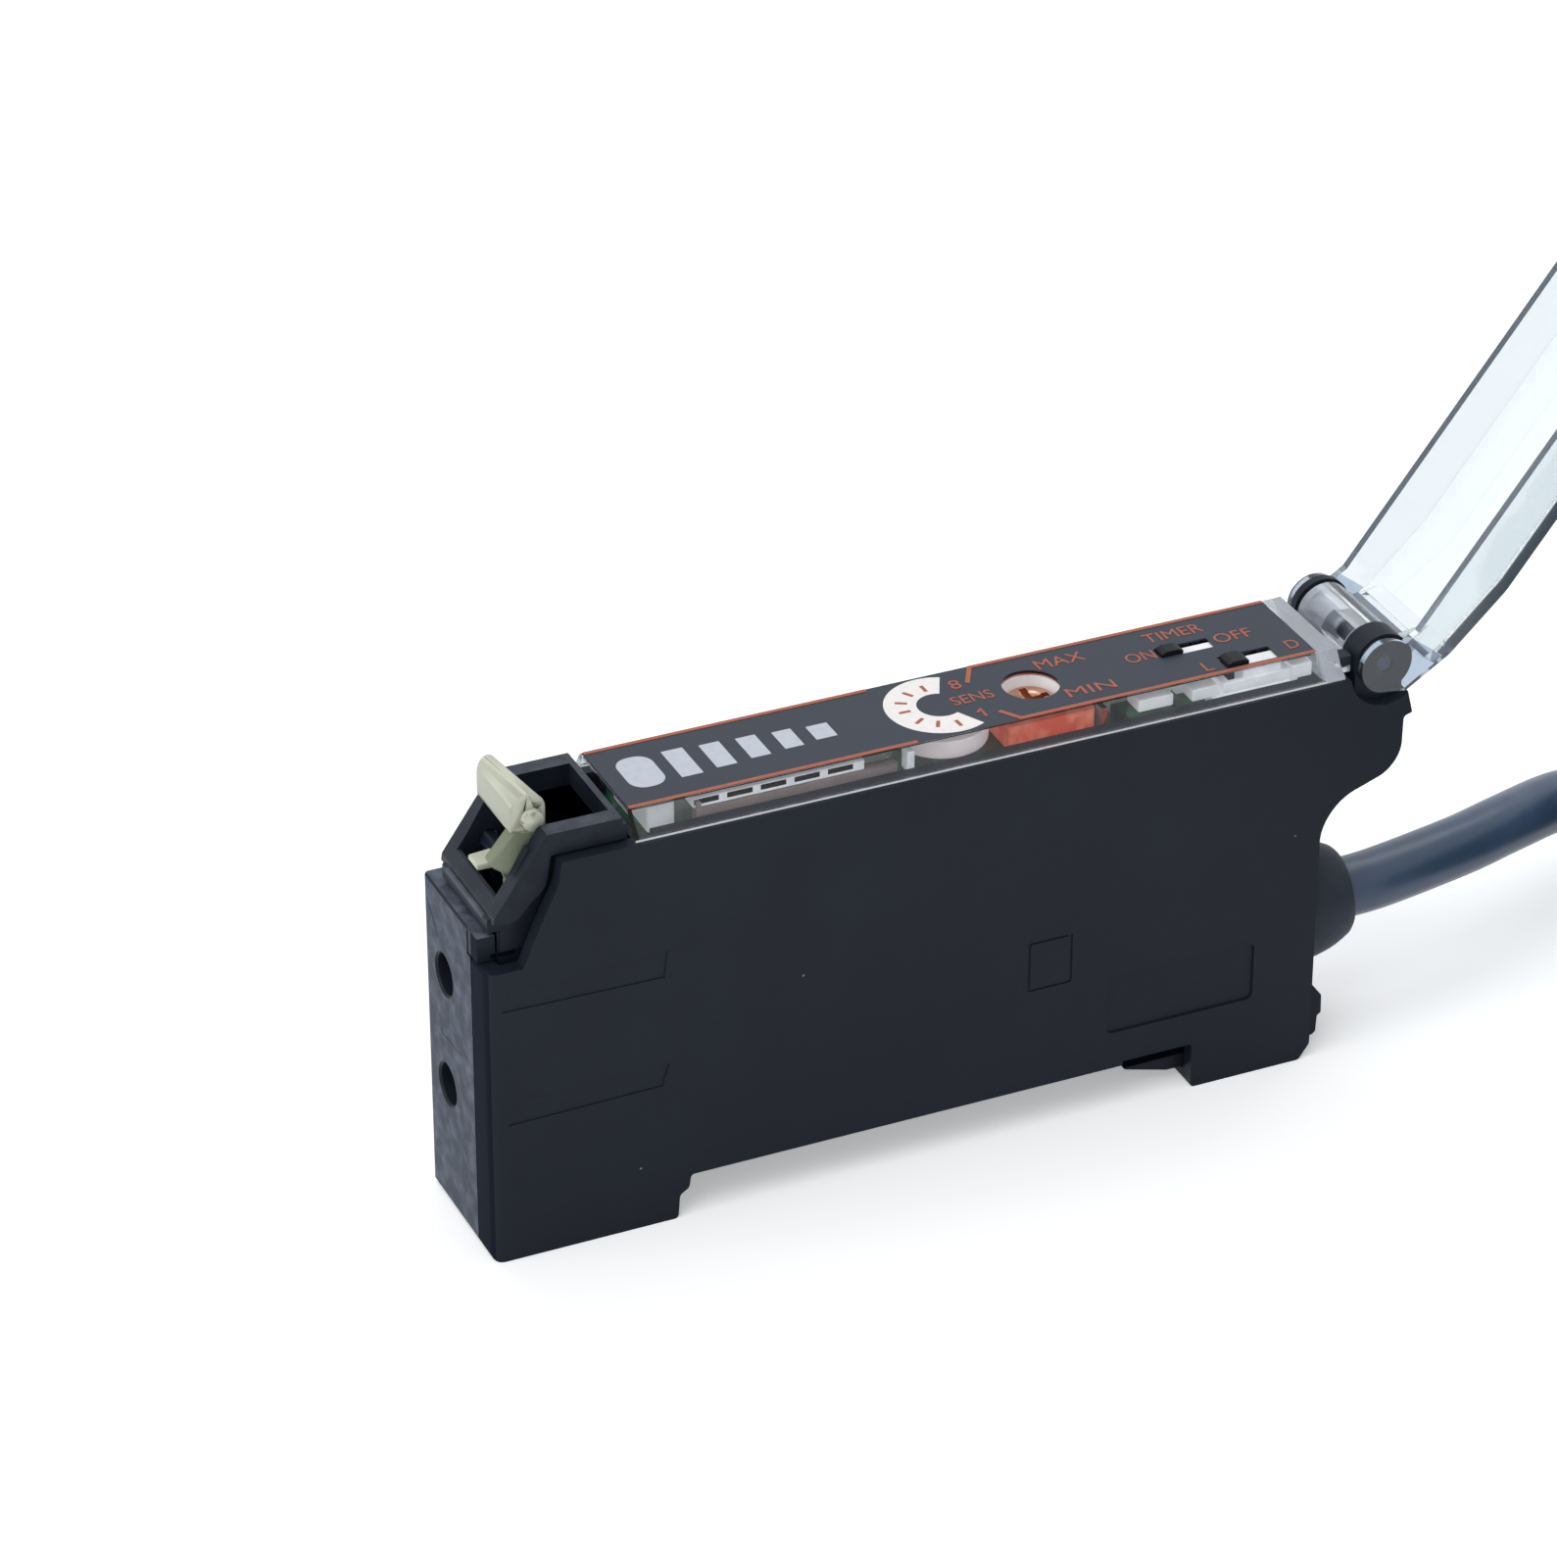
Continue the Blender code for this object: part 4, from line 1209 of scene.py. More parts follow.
@dataclass
class Case:
    """Case of two mouldings: the shell with the fibre face, and the cover on the near side."""

    length: float = 56.15
    half: float = 5.0
    deck: float = 27.3
    split: float = -2.5
    seam: float = 0.12
    wall: float = 1.0
    front_corner: float = 0.8
    foot: float = 12.2
    slot: float = 35.4
    slot_depth: float = 2.97
    face_top: float = 22.4
    cover_top: float = 20.6
    bore_y: float = 2.0
    bores: tuple[float, float] = (8.9, 16.8)
    bore_radius: float = 1.36
    bore_depth: float = 7.0
    hinge: Span = HINGE
    cradle_radius: float = 2.6
    boss_radius: float = 1.95
    barrel_half: float = 2.15
    window_half: float = 4.2
    far_boss: float = 3.65
    relief: float = 0.07
    field_depth: float = 0.16
    frame_depth: float = 0.08
    mark: float = 0.02
    mark_width: float = 0.28
    edge: float = 0.13

    def outline(self, front_top: float) -> list[Corner]:
        """Side view of the case, with the front's top at a height."""
        rear = self.length
        rear_foot = self.foot + self.slot
        cradle = arc(self.hinge, self.cradle_radius, -58, -172, 16)
        return [
            (0.0, 0.0, 0.5),
            (self.foot, 0.0, 0.3),
            (self.foot + 0.12, 1.65, 0.3),
            (self.foot + 0.75, 2.07, 0.3),
            (self.foot + 0.88, self.slot_depth, 0.25),
            (rear_foot - 4.9, self.slot_depth),
            (rear_foot - 4.9, self.slot_depth + 0.3),
            (rear_foot, self.slot_depth + 0.3, 0.2),
            (rear_foot, 0.0, 0.3),
            (rear - 0.75, 0.0, 0.3),
            (rear, 1.05, 0.4),
            (rear, self.deck - 8.85, 3.4),
            (rear + 5.5, self.deck - 6.9, 2.3),
            (rear + 5.55, self.deck - 3.45, 0.3),
            (rear + 6.15, self.deck - 3.3, 0.12),
            (rear + 5.75, self.deck - 1.7),
            *cradle,
            (cradle[-1][0] - 0.2, self.deck),
            (4.98, self.deck),
            (4.75, self.deck - 1.5, 2.0),
            (3.6, self.deck - 3.9, 2.0),
            (2.4 + (front_top - self.cover_top) * 0.4, front_top),
            (0.0, front_top, 0.25),
        ]

    def half_case(self, front_top: float, near: float, far: float) -> Shape:
        """Half of the case with its rounded front corners, hollow inside.

        Args:
            front_top: height of its fibre face.
            near: its near side.
            far: its far side.

        Returns:
            The half, open at the parting plane and under the window.
        """
        solid = Shape.prism(self.outline(front_top), Axis.Y, near, far)
        plan = [
            (0.0, -self.half, self.front_corner),
            (self.length + 9, -self.half, self.front_corner),
            (self.length + 9, self.half, self.front_corner),
            (0.0, self.half, 0.3),
        ]
        solid.common(Shape.prism(plan, Axis.Z, -1.0, 31.0))
        inner = self.half - self.wall
        return solid.cut(
            Shape.block((1.2, self.foot - 1), (-inner, inner), (1.0, self.deck + 3)),
            Shape.block((self.foot - 2, self.length - 1), (-inner, inner), (4.9, self.deck - 1)),
            # opening under the window
            Shape.block((10.5, 54.9), (-3.5, 3.5), (self.deck - 2, self.deck + 2)),
            # channel of the rail slider, and the boot's hole
            Shape.block(
                (self.foot + self.slot - 1.5, self.length + 2), (-inner, inner), (0.85, 3.9)
            ),
            Shape.rod(Axis.X, CABLE_AXIS, 2.6, (self.length - 2, self.length + 2)),
        )

    def boss(self, low: float, high: float) -> Shape:
        """Boss for the hinge pin with its neck, between two values of Y."""
        x, z = self.hinge
        neck = Shape.block((x - 1.9, x + 1.3), (low, high), (z - 4, z))
        return Shape.rod(Axis.Y, self.hinge, self.boss_radius, (low, high), 40).join(neck)

    def shell(self) -> None:
        """Far wall, fibre face, feet and rear wall."""
        shell = self.half_case(self.face_top, self.split, self.half)
        beyond = self.split + 0.5
        shell.cut(Shape.block((-1, 1.2), (-4, beyond), (self.cover_top, 30)))
        # the lip over the cover's front, with its inner tab
        lip = Shape.block((0.05, 1.2), (-3.5, beyond), (self.cover_top + self.seam, self.face_top))
        tab = Shape.block((1.35, 4.1), (-3.5, self.split + 1.4), (18.6, 23.4))
        notch = Shape.block((0.9, 2.5), (-4.0, -3.1), (20.75, 21.15))
        lip.join(tab).cut(notch)
        shell.join(lip, self.boss(self.far_boss, self.window_half))
        radius, deep = self.bore_radius, self.bore_depth
        bore = [(-1, 0), (-1, 2.5), (0.0, 1.5), (0.15, radius), (deep, radius), (deep, 0)]
        for height in self.bores:
            shell.cut(Shape.turned(bore, Axis.X, (self.bore_y, height)))
        shell.cut(
            self.groove((4.38, 20.95), (2.76, 19.09)),
            self.groove((2.8, 12.41), (-0.42, 12.56)),
            Shape.rod(Axis.Y, self.hinge, PIN_HOLE, (0, self.half + 1)),
        )
        shell.split(Vector((0.0, self.split, 0.0)), Vector((0.0, 1.0, 0.0)))
        # the fibre face and its top edge are eroded, and what is left of the front is dull
        shell.paint(1, lambda at, normal: normal.x < -0.9 and at.x < 0.02 and at.y > self.split)
        high = self.face_top - 0.1
        shell.paint(1, lambda at, normal: normal.z > 0.9 and at.x < 1.2 and at.z > high)
        shell.paint(2, lambda at, normal: normal.x < -0.9 and at.x < 0.2 and at.y < self.split)
        shell.settle(
            "case_shell_moulding",
            [FINISH.case, FINISH.eroded, FINISH.dull],
            Body.CASE,
            ["case_shell"],
            "case_plastic",
            self.edge,
        )

    def groove(self, start: Span, end: Span) -> Shape:
        """Cutter for a shallow line on the fibre face between two (y, z) points."""
        return Shape.prism(band([start, end], self.mark_width), Axis.X, -1.0, self.mark)

    def cover(self) -> None:
        """Near wall, with the reliefs on its outside."""
        near = -self.half
        cover = self.half_case(self.cover_top, near, self.split - self.seam)
        cover.join(self.boss(-self.window_half, -self.barrel_half - 0.3))
        upper = [
            (0.96, 17.85),
            (11.45, 17.66),
            (11.66, 19.5),
            (3.99, 19.05),
            (3.0, 19.45),
            (1.43, 19.31),
        ]
        lower = [
            (1.19, 9.77),
            (11.24, 9.93),
            (11.7, 11.43),
            (4.72, 11.41),
            (2.9, 11.5),
            (2.76, 11.81),
            (1.35, 10.93),
        ]
        field = [(41.5, 5.6, 0.4), (51.8, 5.6, 0.4), (51.8, 9.75, 0.4), (41.5, 9.75, 0.4)]
        square = [(35.8, 10.2, 0.2), (38.9, 10.2, 0.2), (38.9, 13.8, 0.2), (35.8, 13.8, 0.2)]
        inside = [(36.0, 10.4, 0.1), (38.7, 10.4, 0.1), (38.7, 13.6, 0.1), (36.0, 13.6, 0.1)]
        frame = Shape.prism(square, Axis.Y, near - 1, near + self.frame_depth).cut(
            Shape.prism(inside, Axis.Y, near - 2, near + 1)
        )
        cover.cut(
            Shape.prism(upper, Axis.Y, near - 1, near + self.relief),
            Shape.prism(lower, Axis.Y, near - 1, near + self.relief),
            Shape.prism(field, Axis.Y, near - 1, near + self.field_depth),
            frame,
            Shape.rod(Axis.Y, self.hinge, PIN_HOLE, (near - 1, 0)),
        )
        cover.paint(1, lambda at, normal: normal.x < -0.5 and at.x < 0.3)
        cover.settle(
            "side_cover_moulding",
            [FINISH.case, FINISH.dull],
            Body.CASE,
            ["side_cover"],
            "case_plastic",
            self.edge,
        )

    def build(self) -> None:
        """Makes both mouldings."""
        self.shell()
        self.cover()


def band(points: Sequence[Span], width: float) -> list[Corner]:
    """Outline of a line of a width through points.

    Args:
        points: the line.
        width: its width in millimetres.

    Returns:
        The outline, one side after the other.
    """
    places = [Vector(p) for p in points]
    sides: list[list[Corner]] = [[], []]
    for number, here in enumerate(places):
        before = (here - places[number - 1]).normalized() if number else None
        after = (places[number + 1] - here).normalized() if number + 1 < len(places) else None
        along = ((before or after) + (after or before)).normalized()
        across = Vector((-along.y, along.x))
        stretch = 1.0 / max(0.5, along.dot(before or after))
        for side, sign in zip(sides, (1, -1)):
            side.append(tuple(here + across * sign * width / 2 * stretch))
    return sides[0] + sides[1][::-1]


@dataclass
class LeverHousing:
    """Open housing of the fibre lock lever, with two sloping cheeks and a sill."""

    end: float = 9.5
    rim: float = 28.9
    half: float = 4.2
    opening_half: float = 3.0
    floor: float = 22.5
    sill: float = 24.7
    pivot: Span = LEVER_PIVOT
    bearing: float = 0.66

    def build(self) -> None:
        """Makes the housing, with a painted highlight on the top faces of its rims."""
        base = [
            (1.5, 21.2),
            (self.end - 0.12, 21.2),
            (self.end - 0.12, 27.8),
            (3.4, 27.8),
            (1.55, self.sill, 0.15),
            (1.3, 23.75, 0.2),
            (0.7, 23.6, 0.12),
            (0.7, 22.7),
            (1.5, 22.7),
        ]
        cheeks = [
            (self.end, 27.42, 0.1),
            (self.end, self.rim, 0.3),
            (4.35, self.rim, 0.5),
            (0.93, 23.95, 0.3),
            (0.85, 23.42, 0.1),
            (2.3, 23.42, 1.0),
            (3.3, 24.5, 0.8),
            (4.25, 25.3, 1.0),
            (4.62, 27.42),
        ]
        pocket = [
            (1.95, self.floor),
            (self.end - 0.7, self.floor, 0.3),
            (self.end - 0.7, self.rim + 2),
            (-1.0, self.rim + 2),
            (-1.0, self.sill),
            (1.7, self.sill),
        ]
        housing = Shape.prism(base, Axis.Y, 0.6 - self.half, self.half - 0.6)
        housing.join(Shape.prism(cheeks, Axis.Y, -self.half, self.half))
        x = self.pivot[0]
        wide = self.half + 1
        housing.cut(
            Shape.prism(pocket, Axis.Y, -self.opening_half, self.opening_half),
            Shape.rod(Axis.Y, self.pivot, self.bearing, (0.4 - self.half, self.half - 0.4)),
            # passage of the fibre clamp
            Shape.block((x - 0.9, x + 0.9), (0.6, 2.9), (19.5, self.floor + 1)),
            # step along the rear rim, beside the label
            Shape.block((self.end - 0.28, self.end + 1), (-wide, wide), (28.45, 30.0)),
        )
        # the top faces of the rims take the paler finish: a painted highlight
        housing.paint(1, lambda at, normal: normal.z > 0.9 and at.z > 28.3)
        # a slim pale strip along the lowest front edge: a painted highlight
        worn = Shape.block((0.64, 0.95), (-3.0, 3.0), (23.3, 23.66))
        worn.settle("housing_worn_edge", [FINISH.edge_highlight], Body.CASE, edge=0.1)
        housing.settle(
            "lever_housing_moulding",
            [FINISH.housing, FINISH.rubbed],
            Body.CASE,
            ["lever_housing"],
            "housing_plastic",
            0.1,
        )


@dataclass
class LockLever:
    """Cream lever in its raised place: rounded grip, near arm, toe bar, hub and trunnions."""

    pivot: Span = LEVER_PIVOT
    half: float = 2.8
    arm: float = 1.05
    taper: float = 0.62
    hub_radius: float = 1.0
    trunnion_radius: float = 0.6
    trunnion_half: float = 3.6
    disc: Span = (4.1, 29.2)
    disc_radius: float = 0.66

    def build(self) -> None:
        """Makes the lever."""
        grip = [(2.76, 28.05, 0.55), (5.0, 28.1, 0.45), (5.02, 30.88, 1.1), (2.8, 30.88, 1.1)]
        arm = [(1.32, 26.7, 0.25), (2.5, 25.8, 0.3), (4.4, 24.9), (4.6, 28.2), (2.9, 28.6)]
        toe = [(1.6, 24.78, 0.1), (3.4, 24.78), (4.0, 25.1), (3.4, 25.25), (1.6, 25.12, 0.1)]
        web = [(2.2, 25.95), (3.0, 24.0), (4.2, 24.3), (4.5, 25.6), (4.6, 28.4), (3.2, 28.4)]
        lever = Shape.prism(grip, Axis.Y, 0.35 - self.half, self.half)
        # the grip is slimmer at its far end
        for vert in lever.mesh.verts:
            if vert.co.y > 0:
                vert.co.x = grip[0][0] + (vert.co.x - grip[0][0]) * self.taper
        near, far = -self.half, self.arm - self.half
        shaft = (-self.trunnion_half, self.trunnion_half)
        lever.join(
            Shape.prism(arm, Axis.Y, near, far),
            Shape.prism(toe, Axis.Y, 0.1, 1.5),
            Shape.prism(web, Axis.Y, near + 0.2, far - 0.2),
            Shape.rod(Axis.Y, self.pivot, self.hub_radius, (near, far)),
            Shape.rod(Axis.Y, self.pivot, self.trunnion_radius, shaft),
            Shape.rod(Axis.Y, self.disc, self.disc_radius, (near - 0.12, 0.0)),
        )
        inner = far + 0.02
        # the arm's faces take the darker finish: painted shade
        lever.paint(1, lambda at, normal: at.z < 28.0 and at.y < inner)
        lever.paint(2, lambda at, normal: self.is_shaft(at, normal) and at.y > inner)
        lever.settle(
            "lock_lever_moulding",
            [FINISH.lever, FINISH.lever_shade, FINISH.housing],
            Body.LEVER,
            ["lock_lever"],
            "lever_plastic",
            0.16,
            3,
        )

    def is_shaft(self, at: Vector, normal: Vector) -> bool:
        """Whether a face is on the round of the shaft, painted dark as it looks in the shade."""
        beside = abs(at.x - self.pivot[0]) < self.trunnion_radius + 0.01
        return beside and at.z < 25.6 and abs(normal.y) < 0.5


@dataclass(frozen=True)
class TopHoles:
    """Screwdriver hole and the two switch slots, through label and window."""

    adjuster: Span = (38.1, 0.0)
    radius: float = 1.8
    timer_x: Span = (46.9, 50.6)
    timer_y: Span = (-0.4, 0.8)
    mode_x: Span = (50.0, 53.6)
    mode_y: Span = (-3.18, -1.7)

    def cutters(self, extra: float) -> list[Shape]:
        """Cutters of all three holes, each wider by extra all round."""
        z = (26.0, 31.0)
        slots = [
            Shape.block((x[0] - extra, x[1] + extra), (y[0] - extra, y[1] + extra), z, 0.12)
            for x, y in ((self.timer_x, self.timer_y), (self.mode_x, self.mode_y))
        ]
        return [Shape.rod(Axis.Z, self.adjuster, self.radius + extra, z, 40), *slots]


@dataclass
class Window:
    """Clear block that closes the case's top, with a foot flange and the latch at its back."""

    holes: TopHoles
    front: float = 9.74
    back: float = 57.4
    half: float = 4.25
    foot_half: float = 4.9
    top_half: float = 3.63
    waist: float = 28.1
    low: float = 27.42
    top: float = 29.0
    ceiling: float = 28.8
    recess: float = 28.92
    flange: float = 56.08

    def build(self) -> None:
        """Makes the block, with a painted highlight on its foot, and the latch."""
        section = [
            (-self.foot_half, self.low),
            (self.foot_half, self.low),
            (self.foot_half, self.low + 0.14),
            (self.half, self.waist),
            (self.top_half, self.top),
            (-self.top_half, self.top),
            (-self.half, self.waist),
            (-self.foot_half, self.low + 0.14),
        ]
        # the sides are thin walls that slope like the outside
        hollow = [
            (-4.6, self.low - 1),
            (4.6, self.low - 1),
            (4.6, self.low + 0.08),
            (3.98, self.waist - 0.12),
            (3.46, self.ceiling),
            (-3.46, self.ceiling),
            (-3.98, self.waist - 0.12),
            (-4.6, self.low + 0.08),
        ]
        window = Shape.prism(section, Axis.X, self.front, self.back)
        window.cut(
            Shape.prism(hollow, Axis.X, self.front + 0.35, 56.0),
            Shape.block((9.84, 56.06), (-3.52, 3.52), (self.recess, self.top + 1)),
            *self.holes.cutters(0.05),
        )
        window.join(Shape.block((self.back - 0.2, 58.2), (-4.1, -3.1), (self.low, 27.82), 0.1))
        window.split(Vector((self.flange, 0.0, 0.0)), Vector((1.0, 0.0, 0.0)))
        # the foot's sides take the whitish finish: a painted highlight
        window.paint(1, lambda at, normal: abs(normal.y) > 0.95 and abs(at.y) > 4.8)
        window.paint(2, lambda at, normal: at.x > self.flange)
        window.settle(
            "display_window_block",
            [FINISH.clear, FINISH.frosted, FINISH.hazy],
            Body.CASE,
            ["display_window"],
            "clear_plastic",
        )
        lug = Shape.block((self.back + 0.02, 58.3), (-4.1, -3.0), (27.86, 28.5), 0.15)
        lug.settle("window_latch", [FINISH.case], Body.CASE, edge=0.1)


@dataclass
class Label:
    """Dark printed film on the window: light windows, dial scale, border lines and legends."""

    holes: TopHoles
    front: float = 9.88
    back: float = 56.0
    half: float = 3.61
    recess_half: float = 3.5
    low: float = 28.93
    rim: float = 29.003
    top: float = 29.03
    ink_foot: float = 29.025
    ink: float = 0.018
    thick_ink: float = 0.0288
    line: float = 0.3
    tick_half: float = 0.38
    tick_width: float = 0.24
    one_width: float = 0.18

    def build(self) -> None:
        """Makes the film and everything printed on it."""
        along = (self.front, self.back)
        in_recess = (-self.recess_half, self.recess_half)
        film = Shape.block(along, in_recess, (self.low, self.top - 0.01))
        film.join(Shape.block(along, (-self.half, self.half), (self.rim, self.top), 0.2))
        film.cut(*self.holes.cutters(0.0))
        film.settle("label_film", [FINISH.film], Body.CASE, ["label_panel"], "label_film")
        self.lay_ink("label_light_windows", FINISH.white_ink, self.lights())
        self.lay_ink("label_dial_scale", FINISH.dial_ink, [self.dial()])
        self.lay_ink("label_border_lines", FINISH.orange_ink, self.lines() + self.ticks())
        self.legends()

    def lay_ink(self, name: str, finish: Finish, outlines: Sequence[Sequence[Corner]]) -> None:
        """Lays flat printed shapes on the film.

        Args:
            name: the piece's name.
            finish: its ink.
            outlines: outlines in (x, y).
        """
        printed = Shape()
        # the orange lies over the white, so it is thicker
        rise = self.thick_ink if finish is FINISH.orange_ink else self.ink
        for outline in outlines:
            printed.add(Shape.prism(outline, Axis.Z, self.ink_foot, self.top + rise))
        printed.settle(name, [finish], Body.CASE)

    def lights(self) -> list[list[Corner]]:
        """Outlines of the oval window and the five level windows, each shorter than the last."""
        oval = [(11.02, -1.75, 1.0), (13.36, -1.75, 1.0), (13.36, 1.9, 1.0), (11.02, 1.9, 1.0)]
        bars = (
            (14.2, 15.6, -1.53, 1.73),
            (16.57, 17.9, -1.34, 1.51),
            (18.9, 20.2, -1.17, 1.35),
            (21.2, 22.45, -1.0, 1.13),
            (23.36, 24.75, -0.78, 0.9),
        )
        return [oval] + [
            [(a, low, 0.06), (b, low, 0.06), (b, high, 0.06), (a, high, 0.06)]
            for a, b, low, high in bars
        ]

    def dial(self) -> list[Corner]:
        """Outline of the C-shaped dial scale."""
        return arc(DIAL_CENTRE, 3.42, 64, 297, 48) + arc(DIAL_CENTRE, 1.4, 297, 64, 32)

    def ticks(self) -> list[list[Corner]]:
        """Outlines of the seven short radial marks on the dial scale."""
        places = (
            (31.88, 2.19),
            (30.7, 1.93),
            (29.85, 1.12),
            (29.61, 0.05),
            (29.96, -1.29),
            (30.83, -2.07),
            (32.02, -2.48),
        )
        made = []
        for place in places:
            here = Vector(place)
            out = (here - Vector(DIAL_CENTRE)).normalized() * self.tick_half
            made.append(band([tuple(here - out), tuple(here + out)], self.tick_width))
        return made

    def lines(self) -> list[list[Corner]]:
        """Outlines of the border lines along both long edges."""
        edge = self.half - self.line / 2
        near_front = [(self.front + 0.02, -edge), (28.8, -edge)]
        near_back = [(34.9, -2.15), (35.75, -edge), (self.back - 0.02, -edge)]
        far_front = [(self.front + 0.02, edge), (28.6, edge)]
        far_back = [(34.65, 1.75), (35.6, edge), (self.back - 0.02, edge)]
        parts = (near_front, near_back, far_front, far_back)
        return [band(points, self.line) for points in parts]

    def legends(self) -> None:
        """Lays on the generic legends of adjuster, dial and switches."""
        legends = (
            ("8", (33.5, 34.2), (1.35, 2.4)),
            ("SENS", (32.75, 35.5), (-0.5, 0.52)),
            ("MAX", (39.4, 42.65), (1.4, 2.5)),
            ("MIN", (39.6, 42.85), (-2.45, -1.45)),
            ("TIMER", (47.0, 50.95), (1.6, 2.65)),
            ("ON", (44.8, 46.75), (-0.25, 0.85)),
            ("OFF", (50.96, 53.5), (-0.2, 0.9)),
            ("L", (48.7, 49.3), (-3.0, -1.95)),
            ("D", (54.7, 55.5), (-2.6, -1.6)),
        )
        # the 1 at the low end of the dial is a bent line, clearer at this size than the letter
        one = band([(33.62, -1.78), (33.95, -1.5), (33.95, -2.42)], self.one_width)
        words = Shape.prism(one, Axis.Z, self.ink_foot, self.top + self.thick_ink)
        for text, x, y in legends:
            words.add(Shape.words(text, x, y, self.ink_foot, self.thick_ink))
        words.settle("label_legends", [FINISH.orange_ink], Body.CASE)


@dataclass
class Internals:
    """What shows through the clear top: lights, dial, adjuster, switches and board parts."""

    holes: TopHoles
    floor: float = 26.48
    top: float = 28.4
    switch_top: float = 28.15
    bed_top: float = 28.88
    knob_top: float = 29.34

    def build(self) -> None:
        """Makes every part under the window."""
        self.lights()
        self.adjuster()
        self.dial()
        self.switches()
        self.board_parts()
        self.kept()

    def lights(self) -> None:
        """White light blocks: one under the oval window, and a slotted bar for the levels."""
        first = Shape.block((11.4, 13.2), (-2.7, 2.0), (self.floor, self.top - 0.2), 0.2)
        first.settle(
            "operation_light", [FINISH.white], Body.CASE, ["operation_led"], "light_white", 0.08
        )
        bar = Shape.block((14.15, 25.4), (-3.2, 1.7), (27.78, self.top), 0.1)
        pockets = [
            Shape.block((at - 0.82, at + 0.82), (-4.0, -2.85), (27.98, 28.32))
            for at in (15.0 + 2.2 * k for k in range(5))
        ]
        bar.cut(*pockets)
        # the pockets' floors are painted black, as shade in the recesses
        bar.paint(1, lambda at, normal: -3.1 < at.y < -2.8)
        nodes = [f"level_led_{k}" for k in range(1, 6)]
        finishes = [FINISH.white, FINISH.knob]
        bar.settle("level_light_bar", finishes, Body.CASE, nodes, "light_white", 0.04)
        foot = Shape.block((14.3, 27.6), (-3.3, -2.5), (self.floor, 27.7), 0.1)
        foot.join(Shape.block((14.3, 14.6), (-3.4, -2.6), (26.9, 28.2)))
        foot.settle("light_bar_foot", [FINISH.tan], Body.CASE, edge=0.05)

    def adjuster(self) -> None:
        """Orange body, its white collar and the cross-slotted screw."""
        x, y = self.holes.adjuster
        body = Shape.block((35.2, 41.1), (-3.0, 3.0), (self.floor, 28.2), 0.35)
        body.cut(Shape.rod(Axis.Z, (x, y), 1.9, (26.9, 30.0)))
        for at in (x - 1.9, x + 1.9):
            body.cut(Shape.block((at - 0.35, at + 0.35), (-3.5, -2.8), (26.9, 27.8)))
        body.settle(
            "adjuster_housing",
            [FINISH.orange],
            Body.CASE,
            ["adjuster_body"],
            "orange_plastic",
            0.12,
        )
        ring = [(27.0, 1.72), (27.0, 1.88), (28.66, 1.88), (28.66, 1.72)]
        collar = Shape.turned(ring, Axis.Z, (x, y), 40)
        collar.settle("adjuster_collar", [FINISH.white], Body.CASE)
        head = [
            (27.18, 0),
            (27.18, 1.6),
            (27.95, 1.6),
            (28.1, 1.45),
            (28.1, 0.9),
            (28.0, 0.8),
            (28.0, 0),
        ]
        screw = Shape.turned(head, Axis.Z, (x, y), 40)
        screw.cut(
            Shape.block((x - 1.25, x + 1.25), (-0.24, 0.24), (27.6, 29.0)),
            Shape.block((x - 0.24, x + 0.24), (-1.25, 1.25), (27.6, 29.0)),
        )
        screw.settle(
            "adjuster_cross_screw",
            [FINISH.brass],
            Body.ADJUSTER,
            ["adjuster_screw"],
            "screw_brass",
            0.05,
        )

    def dial(self) -> None:
        """Milky indicator dial with its spindle and pointer groove."""
        profile = [
            (self.floor, 0),
            (self.floor, 0.7),
            (26.9, 0.7),
            (26.95, 3.0),
            (28.2, 3.1),
            (28.2, 0),
        ]
        dial = Shape.turned(profile, Axis.Z, DIAL_CENTRE, 64)
        dial.cut(Shape.block((33.3, 36.0), (-0.2, 0.2), (28.0, 29.0)))
        dial.settle(
            "indicator_disc", [FINISH.dial], Body.DIAL, ["indicator_dial"], "dial_plastic", 0.1
        )

    def switches(self) -> None:
        """White bodies of the two slide switches and their black knobs."""
        bodies = (
            ("timer", (46.4, 51.2), (-0.85, 1.3), Body.TIMER, (47.0, 48.5), (-0.3, 0.7)),
            ("mode", (49.6, 54.3), (-3.48, -1.0), Body.MODE, (50.15, 51.6), (-3.1, -1.8)),
        )
        for name, x, y, rider, knob_x, knob_y in bodies:
            near, far = knob_y
            body = Shape.block(x, y, (self.floor, self.switch_top), 0.1)
            body.cut(
                Shape.block((x[0] + 0.5, x[1] - 0.5), (near - 0.06, far + 0.06), (27.2, 29.0)),
                Shape.block((x[0] - 1, x[1] + 1), (y[0] - 1, y[0] + 0.12), (27.35, 27.55)),
            )
            body.settle(
                f"{name}_switch_housing",
                [FINISH.white],
                Body.CASE,
                [f"{name}_switch_body"],
                "switch_plastic",
                0.06,
            )
            # the white bed shows in the slot where the knob isn't
            beside = (knob_x[0] + 1.0, x[1] - 0.52)
            bed = Shape.block(beside, (near, far - 0.22), (27.15, self.bed_top))
            bed.settle(f"{name}_switch_bed", [FINISH.white], Body.CASE)
            knob = Shape.prism(self.knob_side(*knob_x), Axis.Y, near, far)
            # the knob's stem passes its bed on the far side
            knob.join(Shape.block(knob_x, (far - 0.16, far), (27.3, self.bed_top + 0.15)))
            knob.settle(
                f"{name}_slide_knob",
                [FINISH.knob],
                rider,
                [f"{name}_knob"],
                "knob_plastic",
                0.07,
            )

    def knob_side(self, start: float, end: float) -> list[Corner]:
        """Side view of a slide knob, crowned at its middle."""
        middle = (start + end) / 2
        low = self.bed_top + 0.05
        return [
            (start, low),
            (end, low),
            (end, self.knob_top - 0.14, 0.1),
            (middle + 0.4, self.knob_top, 0.1),
            (middle - 0.4, self.knob_top, 0.1),
            (start, self.knob_top - 0.14, 0.1),
        ]

